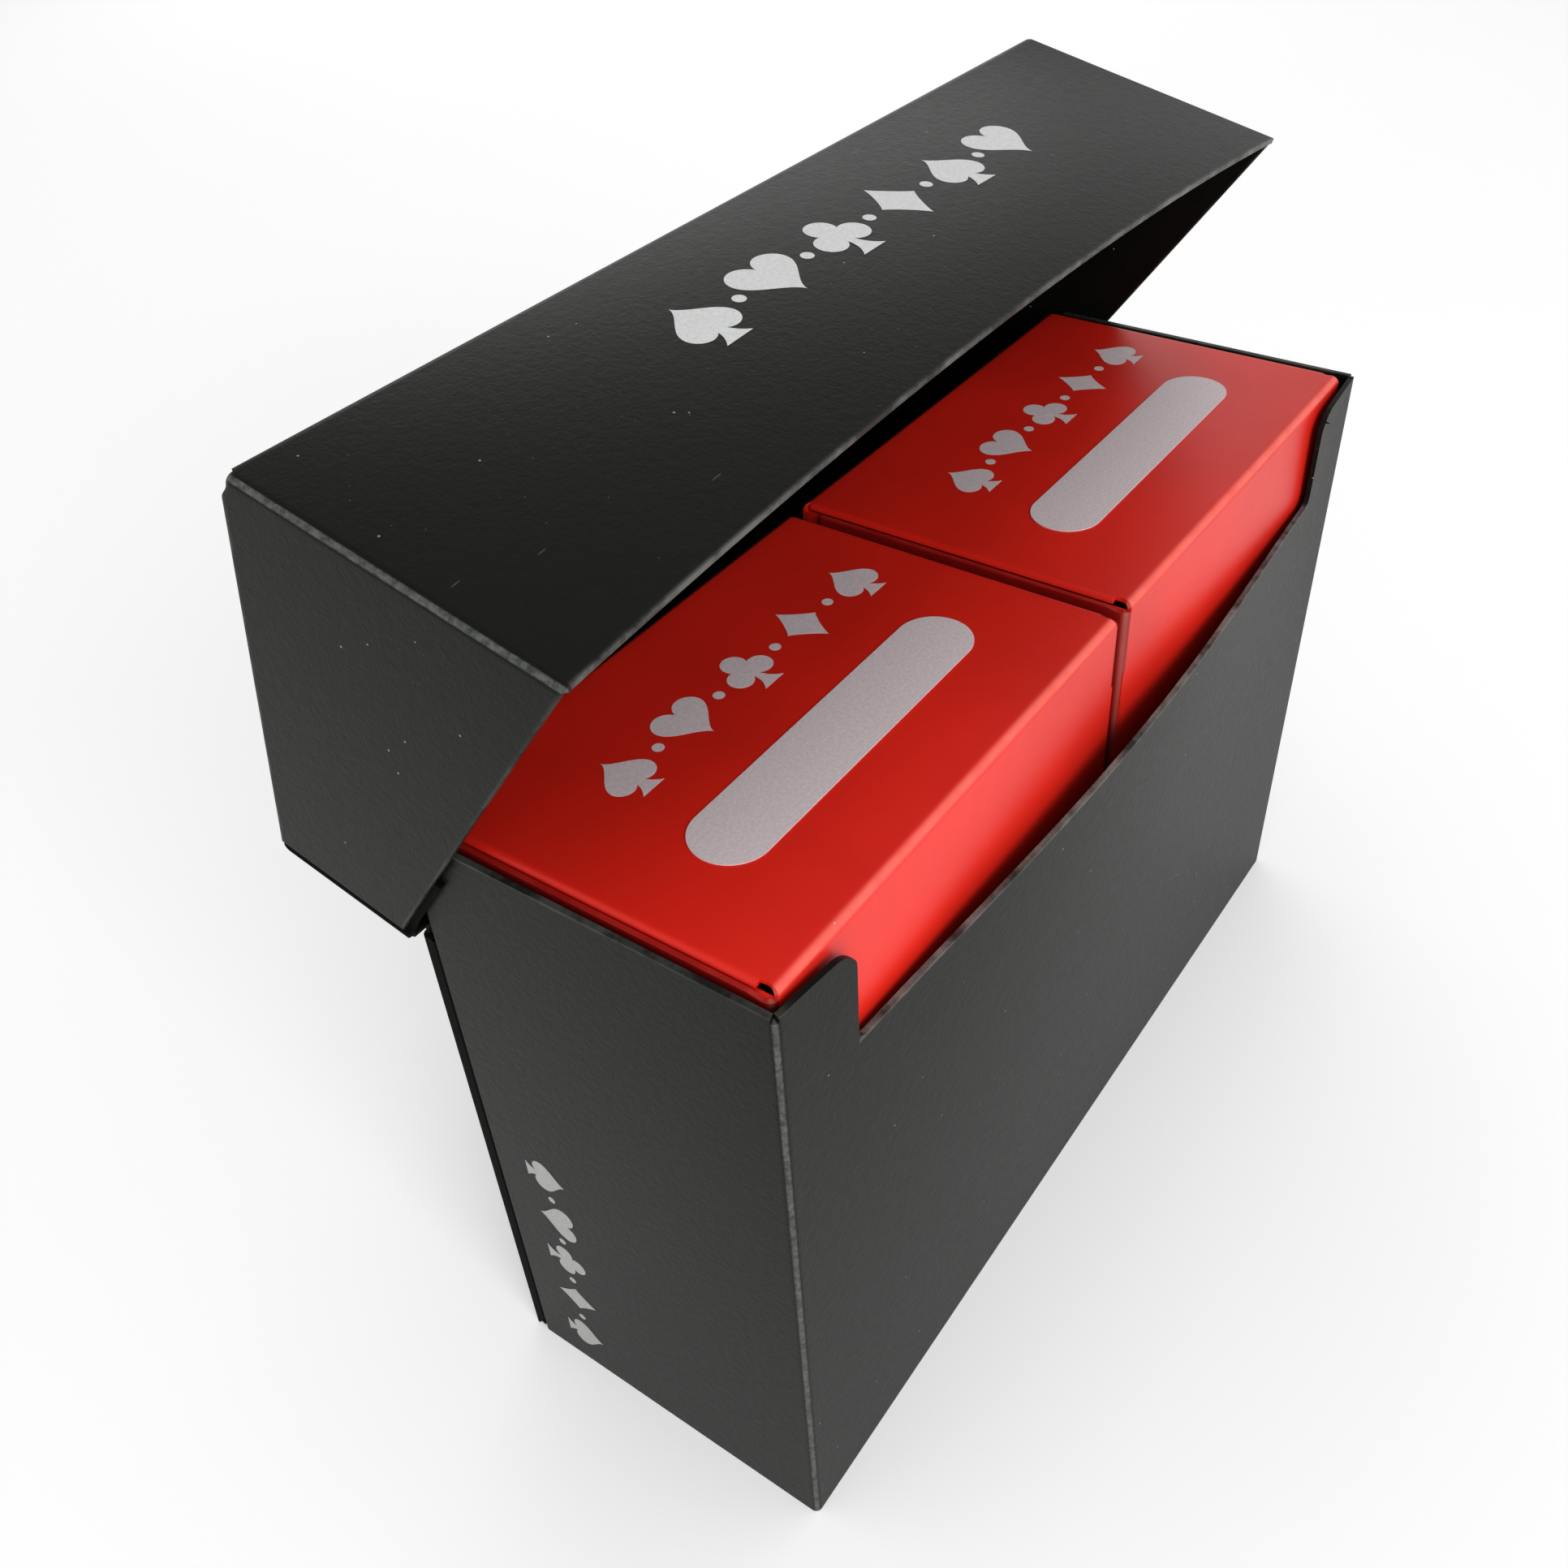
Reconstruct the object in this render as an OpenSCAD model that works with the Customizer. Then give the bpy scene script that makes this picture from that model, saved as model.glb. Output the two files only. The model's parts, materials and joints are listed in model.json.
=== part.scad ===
// Double deck box: a folded sheet carrier with a flip-top lid, which holds two smaller flip-top card boxes.
// The origin is the centre of the underside. X runs along the front, Y towards the hinge and Z up.
// The lid's modules draw it closed, and swing_lid() turns it to the angle at which it rests.

/* [Outer box] */
// Width across the front, outside
body_w = 144.5; // [118:0.5:176]
// Depth from the front fold to the back panel, outside
body_d = 49.2; // [40:0.1:60]
// Height of the side panels and of the front corners
body_h = 95.8; // [78:0.1:118]
// Thickness of the black sheet
sheet = 0.7; // [0.5:0.05:0.9]
// Width of the front corners that are left beside the finger recess
corner_w = 12.5; // [8:0.5:20]
// Depth of the finger recess below the top edge
recess_depth = 15; // [8:0.5:24]
// Radius at the top of each front corner
corner_r = 3; // [1:0.5:5]
// Radius in the lower corners of the recess
recess_r = 1.6; // [0.5:0.1:3]
// How far the front panel bulges at the lower edge of the recess
front_bulge = 3; // [0:0.5:4]
// Gap between the back edge of a side panel and the back of the box
side_setback = 2; // [1.5:0.1:4]
// Width of the glue tabs
tab_w = 12; // [8:0.5:16]
// Height of the tabs that tie the side panels to the bottom
bottom_tab_h = 10; // [6:0.5:20]

/* [Lid] */
// Height of the hinge crease below the top of the side panels
hinge_drop = 16.4; // [12:0.5:20]
// Height of the closed lid's top face above the side panels
lid_rise = 3; // [2:0.1:5]
// Length of the front flap, from its fold to its free edge
flap_len = 39.8; // [28:0.1:50]
// How far the middle of the flap's free edge bows out
flap_bow = 4.7; // [0:0.1:8]
// Clearance of the flap over the front corners as the lid swings
swing_gap = 0.15; // [0.1:0.05:1]
// Clearance between the lid's inner tabs and the side panels
lid_side_gap = 0.15; // [0.1:0.05:0.6]
// Length of the ear that is cut away beside the hinge
ear_hinge_cut = 2.6; // [1:0.1:6]
// Height of the ear's lower edge above the hinge crease
ear_hinge_rise = 0.6; // [0.3:0.1:3]
// How far the rear tab shows below the ear
rear_tab_show = 0.8; // [0:0.1:2]
// Depth of the top panel's tabs
top_tab_h = 9; // [5:0.5:12]
// Radius of the rolled crease that the lid turns about
crease_r = 0.35; // [0.2:0.05:0.45]
// Clearance between the crease and the lid
crease_gap = 0.05; // [0.03:0.01:0.1]
// Angle at which the lid rests, from closed
lid_open = 77; // [0:1:170]

/* [Card boxes] */
// Thickness of the red sheet
box_sheet = 0.6; // [0.4:0.05:0.8]
// Height of the red tops above the black side panels
box_rise = 0.6; // [0:0.1:1.2]
// Gap between the two card boxes
box_gap = 1.7; // [0.5:0.1:3]
// Clearance of the card boxes from the walls around them
box_fit = 0.2; // [0.1:0.05:0.6]
// Length of a card box's front flap
box_flap_len = 34; // [24:0.5:44]
// Height of a card box's hinge below its top
box_hinge_drop = 14; // [10:0.5:20]
// Height of the card box's front wall below its top
box_front_drop = 10; // [6:0.5:20]
// Gap between a card box's top and its ears
box_ear_drop = 0.8; // [0.7:0.1:3]
// Length of the writing strip on each card box
label_len = 48; // [30:1:54]
// Width of the writing strip
label_w = 9.2; // [5:0.1:16]
// Distance of the writing strip's middle from the card box's front
label_y = 16.6; // [12:0.1:24]
// Thickness of the writing strip
label_t = 0.12; // [0.05:0.01:0.3]

/* [Hidden] */
eps = 0.01;
steps_x = 24;
steps_z = 8;
cut = 5;
black = "#262827";
dark = "#1b1c1c";
red = "#cc2018";
label_grey = "#c4bcc4";

// Outer box
half_w = body_w / 2;
half_d = body_d / 2;
panel_half_w = half_w - sheet;
hinge_z = body_h - hinge_drop;
recess_z = body_h - recess_depth;

// Lid, closed: the flap clears the front corners, which pass it at the swing radius
swing_r = norm([body_d, hinge_drop]);
lid_front = half_d - swing_r - swing_gap - sheet;
lid_half_w = half_w + lid_side_gap + 2 * sheet;
lid_panel_half_w = lid_half_w - sheet;
lid_top = body_h + lid_rise;
flap_z = lid_top - flap_len;
ear_slope = (hinge_z + ear_hinge_rise - flap_z) / (half_d - ear_hinge_cut - lid_front);

// Card boxes, which stand on the bottom panel between the tabs
box_w = (body_w - 4 * sheet - 2 * box_fit - box_gap) / 2;
box_d = body_d - 2 * sheet - 2 * box_fit;
box_h = body_h + box_rise - sheet;
box_offset = (box_w + box_gap) / 2;
box_flap_z = box_h - box_flap_len;
box_hinge_z = box_h - box_hinge_drop;

// A box from its low corner to its high corner
module slab(low, high) {
    translate(low) cube(high - low);
}

// A flat panel in the YZ plane: an outline of [y, z] points, from x to x + thick
module side_plate(x, thick, outline) {
    translate([x, 0, 0]) rotate([90, 0, 90]) linear_extrude(thick) polygon(outline);
}

// A closed solid between two sheets of points, each a list of rows of equal length
module bent_sheet(outer, inner) {
    rows = len(outer);
    cols = len(outer[0]);
    count = rows * cols;
    points = [for (side = [outer, inner]) for (row = side) for (p = row) p];
    skins = [for (r = [0 : rows - 2]) for (c = [0 : cols - 2]) for (side = [0, 1])
        let (a = side * count + r * cols + c, quad = [a, a + 1, a + cols + 1, a + cols])
        side == 0 ? [quad[3], quad[2], quad[1], quad[0]] : quad];
    last = (rows - 1) * cols;
    low = [for (c = [0 : cols - 2]) [c, c + 1, count + c + 1, count + c]];
    high = [for (c = [0 : cols - 2]) [last + c + 1, last + c, count + last + c, count + last + c + 1]];
    left = [for (r = [0 : rows - 2])
        [(r + 1) * cols, r * cols, count + r * cols, count + (r + 1) * cols]];
    right = [for (r = [0 : rows - 2]) let (a = r * cols + cols - 1)
        [a, a + cols, count + a + cols, count + a]];
    polyhedron(points, concat(skins, low, high, left, right), convexity = 4);
}

// Bulge of the front panel: nothing at the folds and at the bottom, most at the recess
function wall_bulge(u, z) = front_bulge * pow(1 - u * u, 2) * pow(z / recess_z, 1.5);

// Bow of the lid's flap: nothing at the fold and at the ears, most in the middle of the free edge
function lid_bow(u, s) = flap_bow * (1 - u * u) * (1 - pow(1 - s, 2));

// Rows of points on the front panel, the given depth behind its outer face
function wall_rows(depth) = [for (i = [0 : steps_z]) let (z = body_h * i / steps_z)
    [for (j = [0 : steps_x]) let (u = 2 * j / steps_x - 1)
        [u * panel_half_w, -half_d - wall_bulge(u, z) + depth, z]]];

// Rows of points on the closed lid's flap, from the free edge up to the fold
function flap_rows(depth) = [for (i = [0 : steps_z]) let (s = 1 - i / steps_z)
    [for (j = [0 : steps_x]) let (u = 2 * j / steps_x - 1)
        [u * lid_panel_half_w, lid_front - lid_bow(u, s) + depth, lid_top - s * flap_len]]];

// The right half of the finger recess, cut beside a front corner that keeps its round top
module recess_half() {
    half = half_w - corner_w;
    difference() {
        translate([-eps, recess_z]) square([half + corner_r + eps, recess_depth + cut]);
        translate([half, recess_z - cut]) square([corner_r + cut, cut + recess_depth - corner_r]);
        translate([half + corner_r, body_h - corner_r]) circle(r = corner_r, $fn = 48);
        translate([half - recess_r, recess_z]) difference() {
            square(recess_r);
            translate([0, recess_r]) circle(r = recess_r, $fn = 32);
        }
    }
}

module recess_outline() {
    recess_half();
    mirror([1, 0]) recess_half();
}

module bottom_panel() {
    color(dark) slab([-panel_half_w, -half_d + sheet, 0], [panel_half_w, half_d - sheet, sheet]);
}

module front_panel() {
    color(black) difference() {
        bent_sheet(wall_rows(0), wall_rows(sheet));
        translate([0, -half_d + cut, 0]) rotate([90, 0, 0])
            linear_extrude(3 * cut) recess_outline();
    }
}

module back_panel() {
    color(black) difference() {
        slab([-panel_half_w, half_d - sheet, 0], [panel_half_w, half_d, hinge_z]);
        crease(crease_r, panel_half_w + cut);
    }
}

// The hinge line, as a rod of the given radius and half length
module crease(r, half) {
    translate([-half, half_d, hinge_z]) rotate([0, 90, 0]) cylinder(r = r, h = 2 * half, $fn = 32);
}

module hinge_crease() {
    color(dark) crease(crease_r, panel_half_w);
}

// s is -1 for the left side and 1 for the right
module side_panel(s) {
    x = s * (half_w - sheet / 2);
    color(black) translate([x, -side_setback / 2, body_h / 2])
        cube([sheet, body_d - side_setback, body_h], center = true);
}

module glue_tab(s) {
    x = s * (half_w - 1.5 * sheet);
    height = hinge_z - 2 * sheet;
    color(dark) translate([x, half_d - sheet - tab_w / 2, sheet + height / 2])
        cube([sheet, tab_w, height], center = true);
}

module bottom_tab(s) {
    x = s * (half_w - 1.5 * sheet);
    length = body_d - 2 * sheet - tab_w - sheet;
    color(dark) translate([x, -half_d + sheet + length / 2, sheet + bottom_tab_h / 2])
        cube([sheet, length, bottom_tab_h], center = true);
}

// Turns the closed lid about the hinge line to its rest angle
module swing_lid() {
    translate([0, half_d, hinge_z]) rotate([-lid_open, 0, 0]) translate([0, -half_d, -hinge_z])
        children();
}

module lid_top_panel() {
    color(black) swing_lid()
        slab([-lid_panel_half_w, lid_front + sheet, lid_top - sheet],
            [lid_panel_half_w, half_d - sheet, lid_top]);
}

module lid_front_flap() {
    color(black) swing_lid() bent_sheet(flap_rows(0), flap_rows(sheet));
}

module lid_back_strip() {
    color(black) swing_lid() difference() {
        slab([-lid_panel_half_w, half_d - sheet, hinge_z + 2 * crease_gap],
            [lid_panel_half_w, half_d, lid_top]);
        crease(crease_r + crease_gap, lid_panel_half_w + cut);
    }
}

module lid_ear(s) {
    x = s < 0 ? -lid_half_w : lid_half_w - sheet;
    ear_end = half_d - ear_hinge_cut;
    ear_z = hinge_z + ear_hinge_rise;
    color(black) swing_lid() side_plate(x, sheet, [
        [lid_front, flap_z], [ear_end, ear_z], [half_d, ear_z + ear_hinge_rise],
        [half_d, lid_top], [lid_front, lid_top]
    ]);
}

// The back strip's tab, glued inside the ear; its lower edge runs below the ear's
module lid_rear_tab(s) {
    x = s < 0 ? -lid_panel_half_w : lid_panel_half_w - sheet;
    tab_front = half_d - sheet - tab_w;
    low = flap_z + ear_slope * (tab_front - lid_front) - rear_tab_show;
    color(dark) swing_lid() side_plate(x, sheet, [
        [tab_front, low], [half_d - sheet, low + ear_slope * tab_w],
        [half_d - sheet, lid_top - sheet], [tab_front, lid_top - sheet]
    ]);
}

module lid_top_tab(s) {
    x = s < 0 ? -lid_panel_half_w : lid_panel_half_w - sheet;
    tab_back = half_d - 2 * sheet - tab_w;
    tab_front = lid_front + 2 * sheet;
    color(dark) swing_lid() side_plate(x, sheet, [
        [tab_front, lid_top - sheet], [tab_front + top_tab_h / 3, lid_top - sheet - top_tab_h],
        [tab_back, lid_top - sheet - top_tab_h], [tab_back, lid_top - sheet]
    ]);
}

// Places a card box's piece: s is -1 for the left box and 1 for the right
module at_box(s) {
    translate([s * box_offset - box_w / 2, -box_d / 2, sheet]) children();
}

module box_floor(s) {
    color(red) at_box(s)
        slab([box_sheet, box_sheet, 0], [box_w - box_sheet, box_d - box_sheet, box_sheet]);
}

module box_front_wall(s) {
    color(red) at_box(s)
        slab([box_sheet, box_sheet, box_sheet], [box_w - box_sheet, 2 * box_sheet, box_h - box_front_drop]);
}

module box_back_wall(s) {
    color(red) at_box(s) slab([0, box_d - box_sheet, 0], [box_w, box_d, box_hinge_z]);
}

// A side wall of a card box: side is -1 for its left wall and 1 for its right
module box_side_wall(s, side) {
    x = side < 0 ? box_sheet : box_w - 2 * box_sheet;
    color(red) at_box(s)
        slab([x, 2 * box_sheet, box_sheet],
            [x + box_sheet, box_d - box_sheet, box_h - 2 * box_sheet]);
}

module box_top(s) {
    color(red) at_box(s) slab([0, 0, box_h - box_sheet], [box_w, box_d, box_h]);
}

module box_front_flap(s) {
    color(red) at_box(s) slab([0, 0, box_flap_z], [box_w, box_sheet, box_h - box_sheet]);
}

module box_back_strip(s) {
    color(red) at_box(s)
        slab([0, box_d - box_sheet, box_hinge_z + crease_gap], [box_w, box_d, box_h - box_sheet]);
}

// A card box's ear, folded back from its front flap
module box_ear(s, side) {
    x = side < 0 ? 0 : box_w - box_sheet;
    ear_top = box_h - box_ear_drop;
    color(red) at_box(s) side_plate(x, box_sheet, [
        [box_sheet, box_flap_z], [box_d - box_sheet - ear_hinge_cut, box_hinge_z + ear_hinge_rise],
        [box_d - box_sheet - ear_hinge_cut, ear_top], [box_sheet, ear_top]
    ]);
}

// The pale writing strip, a bar with round ends
module box_label(s) {
    straight = label_len - label_w;
    color(label_grey) at_box(s) translate([box_w / 2, label_y, box_h]) linear_extrude(label_t) union() {
        square([straight, label_w], center = true);
        for (end = [-1, 1]) translate([end * straight / 2, 0]) circle(d = label_w, $fn = 64);
    }
}

bottom_panel();
front_panel();
back_panel();
side_panel(-1);  // left_side_panel
side_panel(1);  // right_side_panel
glue_tab(-1);  // left_glue_tab
glue_tab(1);  // right_glue_tab
bottom_tab(-1);  // left_bottom_tab
bottom_tab(1);  // right_bottom_tab
hinge_crease();
lid_top_panel();
lid_front_flap();
lid_back_strip();
lid_ear(-1);  // lid_left_ear
lid_ear(1);  // lid_right_ear
lid_rear_tab(-1);  // lid_left_rear_tab
lid_rear_tab(1);  // lid_right_rear_tab
lid_top_tab(-1);  // lid_left_top_tab
lid_top_tab(1);  // lid_right_top_tab
box_floor(-1);  // left_box_floor
box_front_wall(-1);  // left_box_front_wall
box_back_wall(-1);  // left_box_back_wall
box_side_wall(-1, -1);  // left_box_left_wall
box_side_wall(-1, 1);  // left_box_right_wall
box_top(-1);  // left_box_top
box_front_flap(-1);  // left_box_front_flap
box_back_strip(-1);  // left_box_back_strip
box_ear(-1, -1);  // left_box_left_ear
box_ear(-1, 1);  // left_box_right_ear
box_label(-1);  // left_box_label
box_floor(1);  // right_box_floor
box_front_wall(1);  // right_box_front_wall
box_back_wall(1);  // right_box_back_wall
box_side_wall(1, -1);  // right_box_left_wall
box_side_wall(1, 1);  // right_box_right_wall
box_top(1);  // right_box_top
box_front_flap(1);  // right_box_front_flap
box_back_strip(1);  // right_box_back_strip
box_ear(1, -1);  // right_box_left_ear
box_ear(1, 1);  // right_box_right_ear
box_label(1);  // right_box_label
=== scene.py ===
"""Builds the looks of a double card deck box around its CAD frame: sheets, prints, finishes and stage."""

import json

import bpy
import numpy as np
from bpy.props import FloatProperty, FloatVectorProperty, PointerProperty
from mathutils import Matrix, Vector


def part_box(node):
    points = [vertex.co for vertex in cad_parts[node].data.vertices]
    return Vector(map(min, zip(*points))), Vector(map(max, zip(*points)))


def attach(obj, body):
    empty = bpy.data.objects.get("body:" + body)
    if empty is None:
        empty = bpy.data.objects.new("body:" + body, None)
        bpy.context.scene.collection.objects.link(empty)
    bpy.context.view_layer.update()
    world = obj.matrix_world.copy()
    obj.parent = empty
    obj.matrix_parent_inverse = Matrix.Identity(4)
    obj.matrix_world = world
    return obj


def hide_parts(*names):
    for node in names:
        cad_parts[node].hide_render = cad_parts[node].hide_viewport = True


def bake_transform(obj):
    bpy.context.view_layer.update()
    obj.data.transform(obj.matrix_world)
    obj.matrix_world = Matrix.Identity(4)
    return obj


bl_info = {
    "name": "Double Deck Box",
    "version": (1, 0, 0),
    "blender": (4, 5, 0),
    "location": "View3D > Sidebar > Deck Box",
    "description": "Folded sheets, prints and finishes of a double card deck box, built around its CAD frame",
    "category": "Object",
}

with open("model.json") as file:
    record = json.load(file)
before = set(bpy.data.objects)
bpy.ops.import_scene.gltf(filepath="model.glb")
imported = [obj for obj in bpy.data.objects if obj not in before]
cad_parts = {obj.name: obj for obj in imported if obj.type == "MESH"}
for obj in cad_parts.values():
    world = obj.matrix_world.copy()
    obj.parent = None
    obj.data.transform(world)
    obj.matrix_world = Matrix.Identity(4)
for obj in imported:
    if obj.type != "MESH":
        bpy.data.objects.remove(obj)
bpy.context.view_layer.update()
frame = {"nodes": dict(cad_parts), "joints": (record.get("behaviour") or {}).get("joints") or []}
MM = 0.001

# The spacing of the sheets' grids: close at folds and edges, wide on flat faces. Then the rows round a fold,
# round a cover's back fold and along the hinge
CLOSE = 0.3 * MM
WIDE = 1.5 * MM
FOLD_STEPS = 10
BACK_FOLD_STEPS = 8
HINGE_ROWS = 25


# Reading the frame -----------------------------------------------------------------------------------------


def node_points(node):
    """The vertices of a CAD node at rest, one row each."""
    mesh = frame["nodes"][node].data
    points = np.empty(len(mesh.vertices) * 3)
    mesh.vertices.foreach_get("co", points)
    return points.reshape(-1, 3)


LID_HINGE = frame["joints"][0]
HINGE_LINE = np.array(LID_HINGE["pos_m"])
CLOSED_ANGLE = np.radians(LID_HINGE["range_deg"][0])


def turned(points, angle):
    """Points turned about the hinge line, which runs along X. A positive angle opens the lid.

    The angle is one number, or one for each point."""
    offset = points - HINGE_LINE
    y = offset[..., 1] * np.cos(angle) + offset[..., 2] * np.sin(angle)
    z = offset[..., 2] * np.cos(angle) - offset[..., 1] * np.sin(angle)
    return HINGE_LINE + np.stack([offset[..., 0], y, z], axis=-1)


def opened(points):
    """Points of the closed lid, moved to where the lid rests."""
    return turned(points, -CLOSED_ANGLE)


def closed_points(node):
    """The vertices of one of the lid's nodes, with the lid closed."""
    return turned(node_points(node), CLOSED_ANGLE)


def lower_edge(points, top):
    """The lower outline of a flat ear: its corners below top, as (y, z) in order of y."""
    corners = np.unique(np.round(points[:, 1:], 6), axis=0)
    corners = corners[corners[:, 1] < top - 0.1 * MM]
    return corners[np.argsort(corners[:, 0])]


class CarrierSizes:
    """Sizes of the outer box, read from its CAD nodes."""

    def __init__(self, settings):
        low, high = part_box("left_side_panel")
        self.half_width = -low[0]
        self.front = low[1]
        self.side_back = high[1] - settings.side_shortening
        self.height = high[2]
        self.sheet = high[0] - low[0]
        self.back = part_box("back_panel")[1][1]
        self.hinge_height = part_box("back_panel")[1][2]
        wall = node_points("front_panel")
        self.bulge = self.front - wall[:, 1].min()
        middle = np.abs(wall[:, 0]) < 0.1 * self.half_width
        self.recess_height = wall[middle, 2].max()
        corners = wall[:, 2] > 0.5 * (self.height + self.recess_height)
        self.recess_half = np.abs(wall[corners, 0]).min()


class CoverSizes:
    """Sizes of a flip-top cover: its flap, top, back strip and ears, with the cover closed."""

    def __init__(self, top_points, flap_points, ear_points, right_ear_points, strip_points):
        left, right = ear_points[:, 0].min(), right_ear_points[:, 0].max()
        self.middle = 0.5 * (left + right)
        self.half_width = 0.5 * (right - left)
        self.front = ear_points[:, 1].min()
        self.bow = max(0.0, self.front - flap_points[:, 1].min())
        self.back = strip_points[:, 1].max()
        self.top = top_points[:, 2].max()
        self.flap_end = flap_points[:, 2].min()
        self.strip_end = strip_points[:, 2].min()
        self.ear_top = ear_points[:, 2].max()
        self.ear_edge = lower_edge(ear_points, self.ear_top)


# Grids, folds and meshes -----------------------------------------------------------------------------------


def stations(first, *stretches):
    """Values from first on, through stretches of (end, step)."""
    values = [np.array([first])]
    for end, step in stretches:
        count = max(1, int(round(abs(end - first) / step)))
        values.append(np.linspace(first, end, count + 1)[1:])
        first = end
    return np.concatenate(values)


def arc(centre, radius, start, end, count):
    """Points on a circle's arc in a plane, from angle start to angle end in degrees, without the first."""
    angle = np.radians(np.linspace(start, end, count + 1)[1:])
    return np.stack([centre[0] + radius * np.cos(angle), centre[1] + radius * np.sin(angle)], axis=-1)


def smooth(value, start, end):
    """0 before start and 1 after end, with a smooth cubic rise between."""
    t = np.clip((value - start) / (end - start), 0.0, 1.0)
    return t * t * (3 - 2 * t)


def ridge(distance, width):
    """1 at no distance, falling off as a bell curve of the given width."""
    return np.exp(-((distance / width) ** 2))


def whitening(distance, width):
    """The whitening of a fold: 1 within its width, and 0 a short way out of it."""
    half = width / 2
    return 1 - smooth(np.abs(distance), 0.5 * half, 1.7 * half)


def path_length(points):
    """The distance along a path of points, from its first."""
    return np.concatenate([[0.0], np.cumsum(np.linalg.norm(np.diff(points, axis=0), axis=1))])


def cell_middles(values):
    """The mean of the four corners of each cell of a grid."""
    return 0.25 * (values[:-1, :-1] + values[1:, :-1] + values[:-1, 1:] + values[1:, 1:])


def mirrored(half_path):
    """A path up to the middle and on, mirrored, to the other side."""
    return np.concatenate([half_path, (half_path * (-1, 1))[-2::-1]])


def from_folds(path, before):
    """The distance along a mirrored path from the middle of its nearer fold, which has points before it."""
    along = path_length(path)
    middle = before + FOLD_STEPS // 2 - 1
    return np.minimum(np.abs(along - along[middle]), np.abs(along - along[len(path) - 1 - middle]))


def grid_faces(rows, cols, keep=None):
    """The four corner numbers of each kept cell of a grid, wound so that column x row points outwards."""
    index = np.arange(rows * cols).reshape(rows, cols)
    quads = np.stack([index[:-1, :-1], index[:-1, 1:], index[1:, 1:], index[1:, :-1]], axis=-1)
    return quads.reshape(-1, 4) if keep is None else quads[keep]


def make_mesh(name, points, faces, layers=None, smooth_faces=True):
    """A mesh object from points, faces and named values on its points. Unused points are left out."""
    faces = np.asarray(faces)
    used, faces = np.unique(faces, return_inverse=True)
    faces = faces.reshape(-1, 4)
    mesh = bpy.data.meshes.new(name)
    mesh.from_pydata(points.reshape(-1, 3)[used].tolist(), [], faces.tolist())
    mesh.polygons.foreach_set("use_smooth", np.full(len(mesh.polygons), smooth_faces))
    for layer, values in (layers or {}).items():
        attribute = mesh.attributes.new(layer, "FLOAT", "POINT")
        attribute.data.foreach_set("value", values.reshape(-1)[used].astype(np.float32))
    mesh.update()
    piece = bpy.data.objects.new(name, mesh)
    bpy.context.scene.collection.objects.link(piece)
    return piece


def folded_sheet(name, points, keep, layers, thickness, settings):
    """A folded sheet: a grid of points with its thickness on the inside, and its cut edges rounded."""
    piece = make_mesh(name, points, grid_faces(*points.shape[:2], keep), layers)
    solid = piece.modifiers.new("Sheet", "SOLIDIFY")
    solid.thickness = thickness
    solid.offset = -1
    solid.use_even_offset = True
    rounding = piece.modifiers.new("Cut edge", "BEVEL")
    rounding.width = settings.edge_round
    rounding.segments = 2
    rounding.limit_method = "ANGLE"
    rounding.angle_limit = np.radians(50)
    rounding.harden_normals = True
    return piece


def finish_piece(piece, body, material, nodes=()):
    """Says what a piece rides on, the finish it takes and the CAD nodes it stands for."""
    piece.data.materials.append(material)
    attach(piece, body)
    if nodes:
        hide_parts(*nodes)


# Shader maths ----------------------------------------------------------------------------------------------


class Value:
    """A socket of a material, with Python's operators adding Math nodes."""

    def __init__(self, finish, socket):
        self.finish = finish
        self.socket = socket

    def math(self, operation, *values):
        """Adds a Math node."""
        return self.finish.node("ShaderNodeMath", {"operation": operation}, values)

    def __add__(self, other):
        return self.math("ADD", self, other)

    def __mul__(self, other):
        return self.math("MULTIPLY", self, other)

    def __sub__(self, other):
        return self.math("SUBTRACT", self, other)

    def __rsub__(self, other):
        return self.math("SUBTRACT", other, self)

    __radd__ = __add__
    __rmul__ = __mul__

    def over(self, other):
        return self.math("GREATER_THAN", self, other)

    def under(self, other):
        return self.math("LESS_THAN", self, other)


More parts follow.
